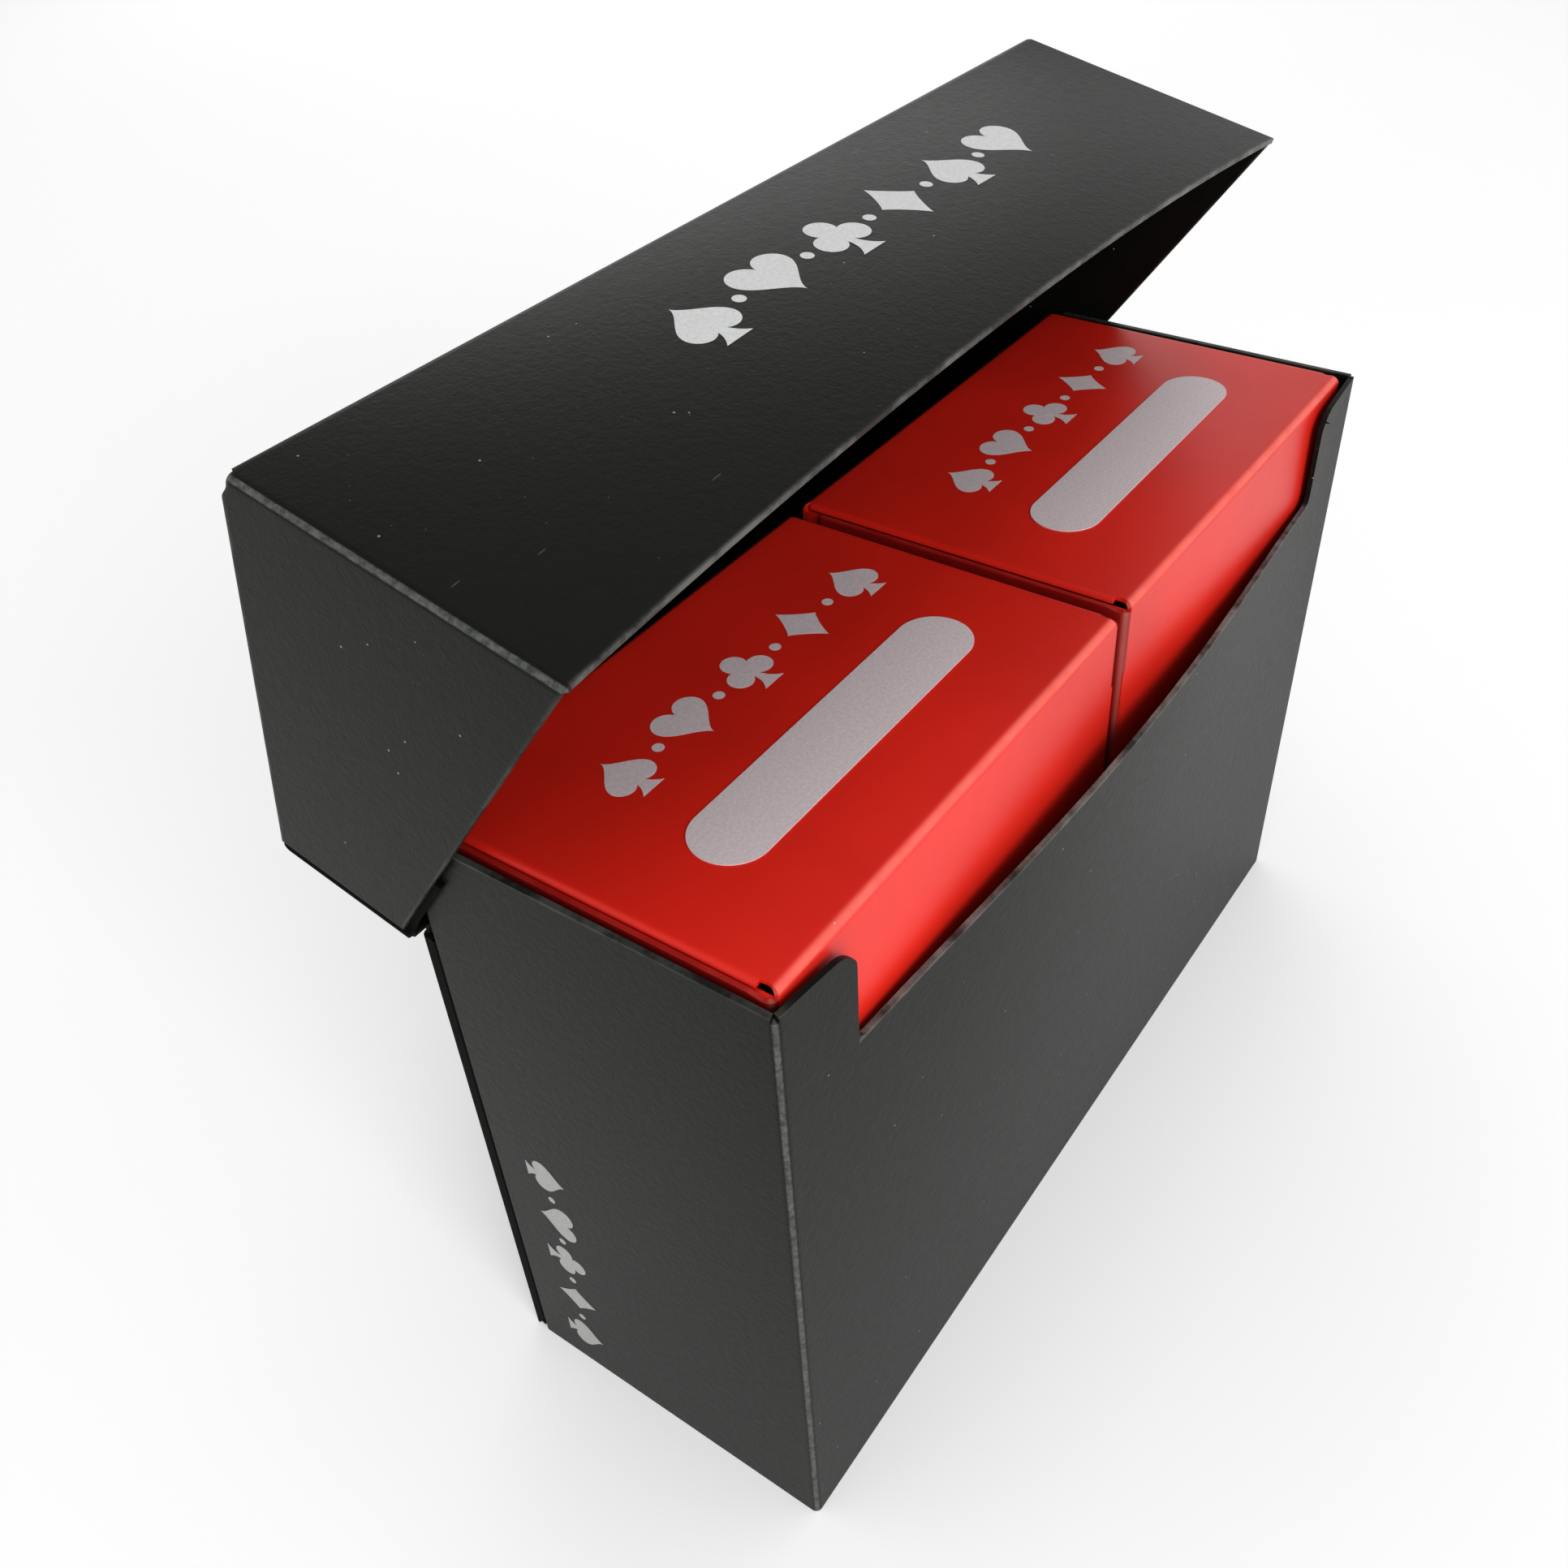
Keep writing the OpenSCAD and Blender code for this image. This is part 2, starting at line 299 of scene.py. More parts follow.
class Finish:
    """A material made of procedural nodes around one Principled shader."""

    def __init__(self, name, **constants):
        self.material = bpy.data.materials.new(name)
        self.material.use_nodes = True
        self.tree = self.material.node_tree
        self.shader = self.tree.nodes["Principled BSDF"]
        for socket, value in constants.items():
            self.shader.inputs[socket.replace("_", " ")].default_value = value
        self.place = self.node("ShaderNodeTexCoord", output="Object")

    def node(self, kind, settings=None, inputs=(), output=0):
        """Adds a node: its settings first, then the values or links of its inputs by place or by name."""
        node = self.tree.nodes.new(kind)
        for name, value in (settings or {}).items():
            if name == "stops":
                self.set_stops(node.color_ramp, value)
            else:
                setattr(node, name, value)
        pairs = inputs.items() if isinstance(inputs, dict) else enumerate(inputs)
        for key, value in pairs:
            self.set_input(node.inputs[key], value)
        return Value(self, node.outputs[output])

    @staticmethod
    def set_stops(ramp, stops):
        """Sets a ramp's stops, each a position and a grey."""
        for place, (position, shade) in enumerate(stops):
            element = ramp.elements[place] if place < 2 else ramp.elements.new(position)
            element.position = position
            element.color = (shade, shade, shade, 1.0)

    def set_input(self, socket, value):
        """Links a value to a socket, or sets it as the socket's constant."""
        if isinstance(value, Value):
            self.tree.links.new(value.socket, socket)
        else:
            socket.default_value = value

    def feed(self, socket, value):
        """Feeds one of the Principled shader's inputs."""
        self.set_input(self.shader.inputs[socket], value)

    def noise(self, scale, detail=2.0, roughness=0.5):
        """Noise over the piece's own coordinates, from 0 to 1 about a half."""
        inputs = {"Vector": self.place, "Scale": scale, "Detail": detail, "Roughness": roughness}
        return self.node("ShaderNodeTexNoise", inputs=inputs)

    def ramp(self, value, *stops):
        """A value taken through a ramp of greys."""
        return self.node("ShaderNodeValToRGB", {"stops": stops}, [value])

    def scratches(self, turn, stretch, width):
        """Fine straight lines: the middles of random cells that are stretched one way."""
        inputs = {"Vector": self.place, "Rotation": turn, "Scale": stretch}
        streaks = self.node("ShaderNodeMapping", inputs=inputs)
        inputs = {"Vector": streaks, "Scale": 1.0}
        return self.node("ShaderNodeTexVoronoi", {"feature": "F1"}, inputs, output="Distance").under(width)

    def mix(self, factor, first, second):
        """Mixes two colours, each a socket or an (r, g, b). A colour Mix node has them at inputs 6 and 7."""
        first, second = [c if isinstance(c, Value) else (*c[:3], 1.0) for c in (first, second)]
        inputs = {0: factor, 6: first, 7: second}
        return self.node("ShaderNodeMix", {"data_type": "RGBA"}, inputs, output=2)

    def layer(self, name):
        """A named value on the piece's points, and 0 on a piece that hasn't got it."""
        return self.node("ShaderNodeAttribute", {"attribute_name": name}, output="Fac")

    def specks(self, scale, size, kept_share):
        """Sparse round specks: the middles of random cells, kept in a share of the cells."""
        settings = {"feature": "F1"}
        inputs = {"Vector": self.place, "Scale": scale, "Randomness": 1.0}
        near = self.node("ShaderNodeTexVoronoi", settings, inputs, output="Distance")
        chance = self.node("ShaderNodeTexVoronoi", settings, inputs, output="Color")
        kept = self.node("ShaderNodeSeparateColor", inputs=[chance]).over(1 - kept_share)
        return near.under(size) * kept

    def kept(self):
        """Keeps the finish under its name, and gives its material."""
        finishes[self.material.name] = self.material
        return self.material

    def bumps(self, strength, distance, *heights):
        """Chains Bump nodes over the given heights and feeds the shader's normal."""
        normal = None
        for height in heights:
            inputs = {"Strength": strength, "Distance": distance, "Height": height}
            if normal is not None:
                inputs["Normal"] = normal
            normal = self.node("ShaderNodeBump", inputs=inputs, output="Normal")
        self.feed("Normal", normal)


# The finished materials, by name
finishes = {}

# Colours of dust, fine dust, scratches and painted deep shade on the black sheet, and of dust on the red
DUST = (0.34, 0.35, 0.33)
FINE_DUST = (0.2, 0.21, 0.2)
SCRATCH = (0.2, 0.2, 0.19)
DEEP_SHADE = (0.001, 0.001, 0.001)
RED_DUST = (0.75, 0.5, 0.46)


def shaded(tone, factor):
    """A colour made lighter or darker by a factor."""
    return tuple(factor * channel for channel in tone)


def black_sheet(looks):
    """Matte black sheet: fine grain, faint clouding, dust, fine scratches, whitened folds, a painted
    highlight along its cut edges and painted shade on its tabs, back folds and hinge.
    """
    if "black_sheet" in finishes:
        return finishes["black_sheet"]
    tint = (*looks.black_tint, 1.0)
    finish = Finish("black_sheet", Specular_IOR_Level=looks.black_gloss, Specular_Tint=tint)
    lighter = shaded(looks.black, 1.5)
    cloud = finish.ramp(finish.noise(14.0, 3.0, 0.55), (0.35, 0.0), (0.7, 1.0))
    colour = finish.mix(cloud * 0.5, looks.black, lighter)
    mottle = finish.noise(900.0, 3.0, 0.6)
    colour = finish.mix(finish.ramp(mottle, (0.42, 0.0), (0.72, 1.0)) * 0.35, colour, lighter)
    worn = finish.ramp(finish.noise(1300.0, 4.0, 0.7), (0.36, 0.35), (0.62, 1.0))
    ragged = finish.layer("crease") + (finish.noise(900.0, 4.0, 0.7) - 0.5) * finish.layer("crease") * 1.6
    crease = finish.ramp(ragged, (0.1, 0.0), (0.7, 1.0)) * worn
    colour = finish.mix(crease, colour, looks.crease_colour)
    # Painted highlight: a broken light line along the cut edges
    rim = finish.layer("rim") * finish.ramp(finish.noise(160.0, 4.0, 0.7), (0.38, 0.15), (0.6, 1.0))
    colour = finish.mix(rim, colour, looks.edge_highlight_colour)
    patches = finish.noise(55.0, 2.0, 0.5).over(0.63)
    scratches = finish.scratches((0.3, 0.2, 0.6), (38.0, 900.0, 900.0), 0.06) * patches
    colour = finish.mix(finish.specks(300.0, 0.038, 0.5) * 0.7, colour, DUST)
    colour = finish.mix(finish.specks(700.0, 0.05, 0.3) * 0.35, colour, FINE_DUST)
    colour = finish.mix(scratches * 0.3, colour, SCRATCH)
    # Painted shade: the colour goes towards near black and the roughness rises on the tabs, the back's folds
    # and the hinge strip
    dull = finish.layer("dull")
    finish.feed("Base Color", finish.mix(dull * 0.8, colour, DEEP_SHADE))
    finish.feed("Roughness", looks.black_roughness + mottle * 0.1 + crease * 0.15 + dull * 0.5)
    finish.bumps(1.0, 0.000036, finish.noise(2100.0, 3.0, 0.6), finish.noise(900.0, 2.0, 0.5))
    return finish.kept()


def red_sheet(looks):
    """Satin red sheet: smooth, with faint clouding, a painted highlight along its folds and cut edges, a
    little dust, and painted shade on its ears in the gaps beside a box.
    """
    if "red_sheet" in finishes:
        return finishes["red_sheet"]
    finish = Finish("red_sheet", Specular_IOR_Level=looks.red_gloss)
    cloud = finish.ramp(finish.noise(30.0, 3.0, 0.5), (0.35, 0.0), (0.65, 1.0))
    colour = finish.mix(cloud, shaded(looks.red, 0.82), looks.red)
    # Painted highlight: a pale pink band along the folds, and a fainter pale line along the cut edges
    crease = finish.layer("crease") * finish.ramp(finish.noise(300.0, 3.0, 0.6), (0.3, 0.7), (0.6, 1.0))
    colour = finish.mix(crease, colour, looks.red_highlight)
    rim = finish.layer("rim") * finish.ramp(finish.noise(200.0, 3.0, 0.6), (0.35, 0.4), (0.6, 1.0))
    colour = finish.mix(rim * 0.4, colour, looks.red_highlight)
    colour = finish.mix(finish.specks(120.0, 0.014, 0.25) * 0.5, colour, RED_DUST)
    # Painted shade on a card box's ears in the gaps beside it, kept off their highlighted edges
    gap_shade = finish.layer("dull") * (1 - rim)
    colour = finish.mix(gap_shade * 0.75, colour, looks.red_shade)
    finish.feed("Base Color", colour)
    finish.feed("Roughness", looks.red_roughness + finish.noise(700.0, 3.0, 0.6) * 0.06)
    finish.bumps(0.12, 0.00004, finish.noise(1700.0, 3.0, 0.6), finish.noise(90.0, 2.0, 0.5))
    return finish.kept()


def pale_print(name, ink, under):
    """Pale printed ink: the sheet's colour shows through tiny pinholes, over a faint stipple."""
    if name in finishes:
        return finishes[name]
    finish = Finish(name, Specular_IOR_Level=0.35)
    stipple = finish.noise(2300.0, 3.0, 0.65)
    colour = finish.mix(finish.ramp(stipple, (0.4, 0.0), (0.62, 1.0)), shaded(ink, 0.88), ink)
    holes = finish.ramp(finish.noise(3600.0, 2.0, 0.6), (0.28, 1.0), (0.36, 0.0))
    colour = finish.mix(holes * 0.25, colour, under)
    finish.feed("Base Color", colour)
    finish.feed("Roughness", 0.55 + stipple * 0.15)
    finish.bumps(0.3, 0.00004, stipple)
    return finish.kept()


# Sheets ----------------------------------------------------------------------------------------------------


def round_recess(x, z, sizes, settings):
    """Moves the recess's corners onto arcs, in the plane of the panel.

    The top of each front corner is a square that becomes a quarter disc: each of its two coordinates shrinks
    by the root of 1 minus half the other's square. Around each lower corner of the recess, points move
    towards the arc's centre by the gap between the square corner and the arc, less as they lie further out.
    The top of each corner also falls a little, in proportion, towards the recess."""
    side = np.sign(x)
    across = np.abs(x)
    radius = settings.corner_radius
    inward = np.clip((sizes.half_width - across) / (sizes.half_width - sizes.recess_half), 0, 1)
    upward = np.clip((z - sizes.recess_height) / (sizes.height - sizes.recess_height), 0, 1)
    fall = np.where(across > sizes.recess_half - 1e-6, settings.tab_fall * inward * upward, 0)
    p = (sizes.recess_half + radius - across) / radius
    q = (z - (sizes.height - radius)) / radius
    inside = (p > 0) & (p <= 1 + 1e-6) & (q > 0)
    p_round = p * np.sqrt(np.clip(1 - q * q / 2, 0, 1))
    q_round = q * np.sqrt(np.clip(1 - p * p / 2, 0, 1))
    new_across = np.where(inside, sizes.recess_half + radius - p_round * radius, across)
    new_z = np.where(inside, sizes.height - radius + q_round * radius, z)

    fillet = settings.recess_radius
    dx = new_across - (sizes.recess_half - fillet)
    dz = new_z - (sizes.recess_height + fillet)
    reach = np.hypot(dx, dz)
    larger = np.maximum(np.maximum(dx, -dz), 1e-9)
    square = reach * fillet / larger
    fade = np.clip(1 - (reach - square) / (2.5 * fillet), 0, 1)
    pull = np.where((dx >= 0) & (dz <= 0) & (larger >= fillet - 1e-7), (square - fillet) * fade, 0)
    scale = 1 - pull / np.maximum(reach, 1e-9)
    moved = pull > 0
    new_across = np.where(moved, sizes.recess_half - fillet + dx * scale, new_across)
    new_z = np.where(moved, sizes.recess_height + fillet + dz * scale, new_z)
    return side * new_across, new_z - fall


def side_swell(y, z, sizes, settings):
    """How far a side panel swells: a sine from its front to its back edge, times a sine up it."""
    depth = (y - sizes.front) / (sizes.side_back - sizes.front)
    return settings.side_swell * np.sin(np.pi * depth) * np.sin(np.pi * z / sizes.height)


def carrier_surface(sizes, settings):
    """The front and the two side panels as one sheet: a U-shaped plan with round folds, carried up Z.

    The front bulges by (1 - u^2)^2 across and by the 1.5th power of the height, up to the recess and past
    it, and each side swells by a sine across and up. Cells in the finger recess and in the small notches
    at the top of the folds are left out."""
    radius = settings.fold_radius
    half, recess = sizes.half_width, sizes.recess_half
    corner, fillet = settings.corner_radius, settings.recess_radius
    fold_start = sizes.front + radius
    side_y = stations(sizes.side_back, (fold_start + 2 * MM, WIDE), (fold_start, CLOSE))
    left = np.stack([np.full_like(side_y, -half), side_y], axis=-1)
    fold = arc((-half + radius, fold_start), radius, 180, 270, FOLD_STEPS)
    front_x = stations(
        -half + radius,
        (-half + radius + 2 * MM, CLOSE),
        (-recess - corner, 1.0 * MM),
        (-recess, 0.2 * MM),
        (-recess + fillet, 0.2 * MM),
        (0.0, 1.6 * MM),
    )[1:]
    front = np.stack([front_x, np.full_like(front_x, sizes.front)], axis=-1)
    plan = mirrored(np.concatenate([left, fold, front]))
    heights = stations(
        0.0,
        (1 * MM, 0.25 * MM),
        (sizes.recess_height - 4 * MM, 1.6 * MM),
        (sizes.recess_height, 0.25 * MM),
        (sizes.recess_height + fillet, 0.2 * MM),
        (sizes.height - corner, 0.8 * MM),
        (sizes.height, 0.2 * MM),
    )
    x, z = np.meshgrid(plan[:, 0], heights)
    y = np.tile(plan[:, 1], (len(heights), 1))
    on_front = np.tile(np.abs(plan[:, 1] - sizes.front) < 1e-7, (len(heights), 1))
    on_side = np.tile(np.abs(np.abs(plan[:, 0]) - half) < 1e-7, (len(heights), 1))

    cell_x, cell_z = cell_middles(x), cell_middles(z)
    in_recess = (np.abs(cell_x) < recess) & (cell_z > sizes.recess_height)
    from_fold = np.tile(from_folds(plan, len(left)), (len(heights), 1))
    in_notch = cell_middles(from_fold) < settings.notch_width / 2
    in_notch = in_notch & (cell_z > sizes.height - settings.notch_depth)
    keep = ~(in_recess | in_notch)

    x_round, z_round = round_recess(x, z, sizes, settings)
    x, z = np.where(on_front, x_round, x), np.where(on_front, z_round, z)
    u = np.clip(x / (half - sizes.sheet), -1, 1)
    bulge = sizes.bulge * (1 - u * u) ** 2 * (np.clip(z, 0, None) / sizes.recess_height) ** 1.5
    y = y - np.where(on_front, bulge, 0)
    x = x + np.sign(x) * np.where(on_side, side_swell(y, z, sizes, settings), 0)

    crease = settings.crease_strength * whitening(from_fold, settings.crease_width)
    # Painted highlight: a light line along the recess's edge, the top edges and the bottom edge
    near_recess = (np.abs(x) < recess) & on_front
    width = settings.edge_width
    rim = np.where(near_recess, ridge(z - sizes.recess_height, width), 0)
    rim = np.maximum(rim, settings.top_edge_highlight * ridge(z - sizes.height, width))
    rim = np.maximum(rim, settings.end_edge_highlight * ridge(z, width))
    return np.stack([x, y, z], axis=-1), keep, {"crease": crease, "rim": rim}


def cover_bow(cover, x, down):
    """How far a cover's flap bows out: a parabola across it, and a falling one from fold to free edge."""
    u = np.clip((x - cover.middle) / cover.half_width, -1, 1)
    s = np.clip(down / (cover.top - cover.flap_end), 0, 1)
    return cover.bow * (1 - u * u) * (1 - (1 - s) ** 2)


class Folding:
    """How a cover is folded: its sheet, its folds' radii, the whitening of a black fold and the painted
    highlight of a red one, and the tabs inside its ears.

    top_tab and strip_tab are the tabs' depths along the sheet, with none on the strip for 0. tab_back is
    where the top's tab ends, relief how far behind the front it begins, and setback how far an ear stops
    short of the back."""

    def __init__(self, sheet, radius, tab_radius, crease, crease_width, top_tab, relief,
                 strip_tab=0.0, tab_back=1.0, setback=0.0):
        self.sheet, self.radius, self.tab_radius = sheet, radius, tab_radius
        self.crease, self.crease_width = crease, crease_width
        self.top_tab, self.strip_tab, self.tab_back = top_tab, strip_tab, tab_back
        self.relief, self.setback = relief, setback


def cover_surface(cover, folding, settings):
    """A flip-top cover as one folded blank, closed: flap, top and back strip, with a wing at both sides.

    The rows run up the flap, round the front fold, over the top, round the back fold and down the strip. The
    columns run along the left wing to the front, round its fold, across, and back along the right wing. In
    the flap's rows the wing is the ear, whose rows are stretched between its own lower edge, a broken line
    that rises to the hinge, and its upper edge. In the top's rows the wing is a tab folded down inside the
    ear, and in the strip's rows a tab folded forwards inside it: a quarter circle and then a straight
    line, with a small step inwards where the ear begins. Near the front fold the top has no tab, which
    leaves a small relief hole."""
    half, front, back = cover.half_width, cover.front, cover.back
    radius, tab_radius, sheet = folding.radius, folding.tab_radius, folding.sheet
    ear_back = min(cover.ear_edge[-1, 0], back - folding.setback)
    ear_y = stations(ear_back, (front + radius + 4 * MM, WIDE), (front + radius, CLOSE))
    ear = np.stack([np.full_like(ear_y, -half), ear_y], axis=-1)
    fold = arc((-half + radius, front + radius), radius, 180, 270, FOLD_STEPS)
    main_x = stations(-half + radius, (-half + radius + 2 * MM, CLOSE), (0.0, WIDE))[1:]
    main = np.stack([main_x, np.full_like(main_x, front)], axis=-1)
    plan = mirrored(np.concatenate([ear, fold, main]))
    first_main = len(ear) + len(fold) - 1
    last_main = len(plan) - 1 - first_main

    fold_z = cover.top - radius
    flap_z = stations(
        cover.flap_end,
        (cover.flap_end + 1 * MM, 0.2 * MM),
        (fold_z - 2 * MM, WIDE),
        (fold_z, CLOSE),
    )
    flap = np.stack([np.full_like(flap_z, front), flap_z], axis=-1)
    front_fold = arc((front + radius, fold_z), radius, 180, 90, FOLD_STEPS)
    top_y = stations(front + radius, (front + radius + 4 * MM, CLOSE), (back - radius, WIDE))[1:]
    top = np.stack([top_y, np.full_like(top_y, cover.top)], axis=-1)
    back_fold = arc((back - radius, fold_z), radius, 90, 0, BACK_FOLD_STEPS)
    strip_z = stations(fold_z, (cover.strip_end + 1 * MM, WIDE), (cover.strip_end, CLOSE))[1:]
    strip = np.stack([np.full_like(strip_z, back), strip_z], axis=-1)
    profile = np.concatenate([flap, front_fold, top, back_fold, strip])
    flap_last = len(flap) - 1
    top_first = flap_last + len(front_fold)
    top_last = top_first + len(top)
    strip_first = top_last + len(back_fold)
    wing_first = strip_first - BACK_FOLD_STEPS // 2 - 1

    rows, columns = len(profile), len(plan)
    row = np.arange(rows)[:, None]
    column = np.arange(columns)[None, :]
    in_flap, in_strip = row <= flap_last, row >= wing_first
    in_top = (row >= top_first) & (row <= top_last)
    wing = (column < first_main) | (column > last_main)
    along, across = path_length(profile), path_length(plan)
    y = np.tile(profile[:, :1], (1, columns))
    z = np.tile(profile[:, 1:], (1, columns))

    # Across: each row's flat middle ends where its wing's fold begins
    inner = half - sheet - settings.tab_gap
    tab_edge = inner - tab_radius
    strip_edge = half - settings.tab_gap - radius if folding.strip_tab else inner
    marks = [0, flap_last, top_first, top_last, strip_first, rows]
    edges = [half - radius, half - radius, tab_edge, tab_edge, strip_edge, strip_edge]
    edge = np.interp(np.arange(rows), marks, edges)[:, None]
    x = plan[None, :, 0] * edge / (half - radius)
    side = np.sign(plan[:, 0])[None, :]
    opening = np.clip((y - front - radius) / (folding.relief - radius), 0, 1)
    near_edge = smooth(np.abs(x), tab_edge - 2 * MM, tab_edge)
    bite = settings.relief_bite * np.sin(np.pi * opening) * near_edge
    x = x - np.where(in_top & ~wing, side * bite, 0)

    # The flap's rows: ears beside a flap that bows out
    depth = plan[:, 1]
    low = np.interp(depth, cover.ear_edge[:, 0], cover.ear_edge[:, 1])
    rise = smooth(depth, front + radius, front + radius + 2 * MM)
    high = fold_z * (1 - rise) + cover.ear_top * rise
    up = (profile[:, 1:] - cover.flap_end) / (fold_z - cover.flap_end)
    ears = in_flap & wing
    x = np.where(ears, plan[None, :, 0], x)
    y = np.where(ears, depth[None, :], y)
    z = np.where(ears, low + up * (high - low), z)
    bowed = in_flap & ~wing
    y = y - np.where(bowed, cover_bow(cover, x + cover.middle, cover.top - z), 0)

    # The top's and the strip's rows: tabs folded in, inside the ears
    out = np.maximum(0, np.maximum(across[first_main] - across, across - across[last_main]))[None, :]
    top_angle = np.minimum(out / tab_radius, np.pi / 2)
    tab_x = side * (tab_edge + tab_radius * np.sin(top_angle))
    top_drop = tab_radius * (1 - np.cos(top_angle))
    top_drop = top_drop + np.minimum(out - tab_radius * top_angle, folding.top_tab - tab_radius)
    angle = np.minimum(out / radius, np.pi / 2)
    drop = radius * (1 - np.cos(angle))
    strip_drop = drop + np.minimum(out - radius * angle, max(0.0, folding.strip_tab - radius))
    z = np.where(in_top & wing, cover.top - top_drop, z)
    tab_y = profile[:, :1] - strip_drop
    tab_low = np.interp(tab_y, cover.ear_edge[:, 0], cover.ear_edge[:, 1]) - settings.tab_show
    stretch = (fold_z - tab_low) / (fold_z - cover.strip_end)
    z = np.where(in_strip & wing, fold_z - (fold_z - profile[:, 1:]) * stretch, z)
    y = np.where(in_strip & wing, tab_y, y)
    x = np.where(in_top & wing, tab_x, x)
    step_in = sheet * smooth(strip_drop, folding.setback - 0.7 * MM, folding.setback - 0.1 * MM)
    strip_x = side * (strip_edge + radius * np.sin(angle) - step_in)
    x = np.where(in_strip & wing, strip_x, x)

    # The cells that are sheet
    cell_row, cell_column = row[:-1], column[:, :-1]
    in_wing = (cell_column < first_main) | (cell_column >= last_main)
    middle_y = cell_middles(y)
    has_top_tab = (cell_row >= top_first) & (cell_row < top_last) & (np.abs(np.diff(top_drop)) > 1e-7)
    has_top_tab = has_top_tab & (middle_y > front + folding.relief) & (middle_y < folding.tab_back)
    has_strip_tab = (cell_row >= wing_first) & (np.abs(np.diff(strip_drop)) > 1e-7) & (folding.strip_tab > 0)
    keep = ~in_wing | (cell_row < flap_last) | has_top_tab | has_strip_tab

    # Whitening of the black sheet's folds, painted highlight along the red sheet's folds, and painted
    # highlight along the cut edges. A fold's middle lies half a quarter circle past its start
    half_fold = 0.25 * np.pi * radius
    wing_middle = across[len(ear) - 1] + half_fold
    from_wing = np.minimum(np.abs(across - wing_middle), np.abs(across[-1] - wing_middle - across))[None, :]
    crease = whitening(along - along[flap_last] - half_fold, folding.crease_width)
    if folding.strip_tab:
        crease = crease + whitening(along - along[top_last] - half_fold, folding.crease_width)
    crease = np.where(wing, 0, folding.crease * crease[:, None])
    side_crease = settings.side_crease_strength * whitening(from_wing, settings.crease_width)
    crease = np.maximum(crease, np.where(in_flap, side_crease, 0))
    width = settings.edge_width
    ear_edge_highlight = settings.ear_low_highlight * ridge(z - low[None, :], width)
    ear_edge_highlight = np.maximum(ear_edge_highlight, settings.ear_top_highlight * ridge(z - high[None, :], width))
    ear_edge_highlight = ear_edge_highlight * (1.0 if folding.strip_tab else settings.red_ear_highlight)
    free_edge_highlight = settings.flap_edge_highlight * ridge(profile[:, 1:] - cover.flap_end, width)
    rim = np.where(in_flap, np.where(wing, ear_edge_highlight, free_edge_highlight), 0)
    # Painted shade: on the black tabs inside the ears, and on the red ears in the gaps beside a box
    painted_shade_rows = ~in_flap if folding.strip_tab else in_flap
    dull = np.where(wing & painted_shade_rows, 1.0, 0.0)
    points = np.stack([x + cover.middle, y, z], axis=-1)
    return points, keep, {"crease": crease, "rim": rim, "dull": dull}


def ribbon_surface(path, before, stretch, settings):
    """A mirrored path of (a, b) points carried along a straight stretch, with its folds' whitening and a
    painted highlight along its ends.

    before is the number of points before a fold. Returns the path's two coordinates and the stretch on a
    grid, and the named values."""
    a = np.tile(path[:, 0], (len(stretch), 1))
    b = np.tile(path[:, 1], (len(stretch), 1))
    c = np.tile(stretch[:, None], (1, len(path)))
    crease = settings.crease_strength * whitening(from_folds(path, before), settings.crease_width)
    # Painted highlight along both ends of the stretch
    end = np.minimum(np.abs(c - stretch[0]), np.abs(c - stretch[-1]))
    rim = settings.end_edge_highlight * ridge(end, settings.edge_width)
    return a, b, c, {"crease": np.tile(crease, (len(stretch), 1)), "rim": rim}


def rear_surface(sizes, settings):
    """The back panel and its two glue tabs as one sheet: a U-shaped plan with round folds, carried up Z.

    Each tab steps out by a smooth cubic where the side panel over it ends, so the fold is flush with it."""
    radius = settings.fold_radius
    edge = sizes.half_width - sizes.sheet
    tab_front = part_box("left_glue_tab")[0][1]
    tab_y = stations(tab_front, (sizes.side_back, 1.2 * MM), (sizes.back - radius, 0.1 * MM))
    corner = sizes.half_width - settings.tab_gap
    step_out = (corner - edge) * smooth(tab_y, sizes.side_back + 0.05 * MM, sizes.side_back + 0.65 * MM)
    tab = np.stack([edge + step_out, tab_y], axis=-1)
    fold = arc((corner - radius, sizes.back - radius), radius, 0, 90, FOLD_STEPS)
    back_x = stations(corner - radius, (corner - radius - 2 * MM, CLOSE), (0.0, 2 * MM))[1:]
    back = np.stack([back_x, np.full_like(back_x, sizes.back)], axis=-1)
    plan = mirrored(np.concatenate([tab, fold, back]))
    tab_low = sizes.sheet + 0.1 * MM
    top = sizes.hinge_height - 0.05 * MM
    heights = stations(0.0, (tab_low, 0.2 * MM), (sizes.hinge_height - 1 * MM, 2 * MM), (top, 0.25 * MM))
    x, y, z, layers = ribbon_surface(plan, len(tab), heights, settings)
    # Painted shade over the glue tabs and the outer part of the back's folds
    layers["dull"] = smooth(np.abs(x), corner - 0.6 * radius, corner - 0.3 * radius)
    layers["crease"] = settings.rear_crease * layers["crease"]
    keep = ~((cell_middles(y) < sizes.back - radius) & (cell_middles(z) < tab_low))
    return np.stack([x, y, z], axis=-1), keep, layers


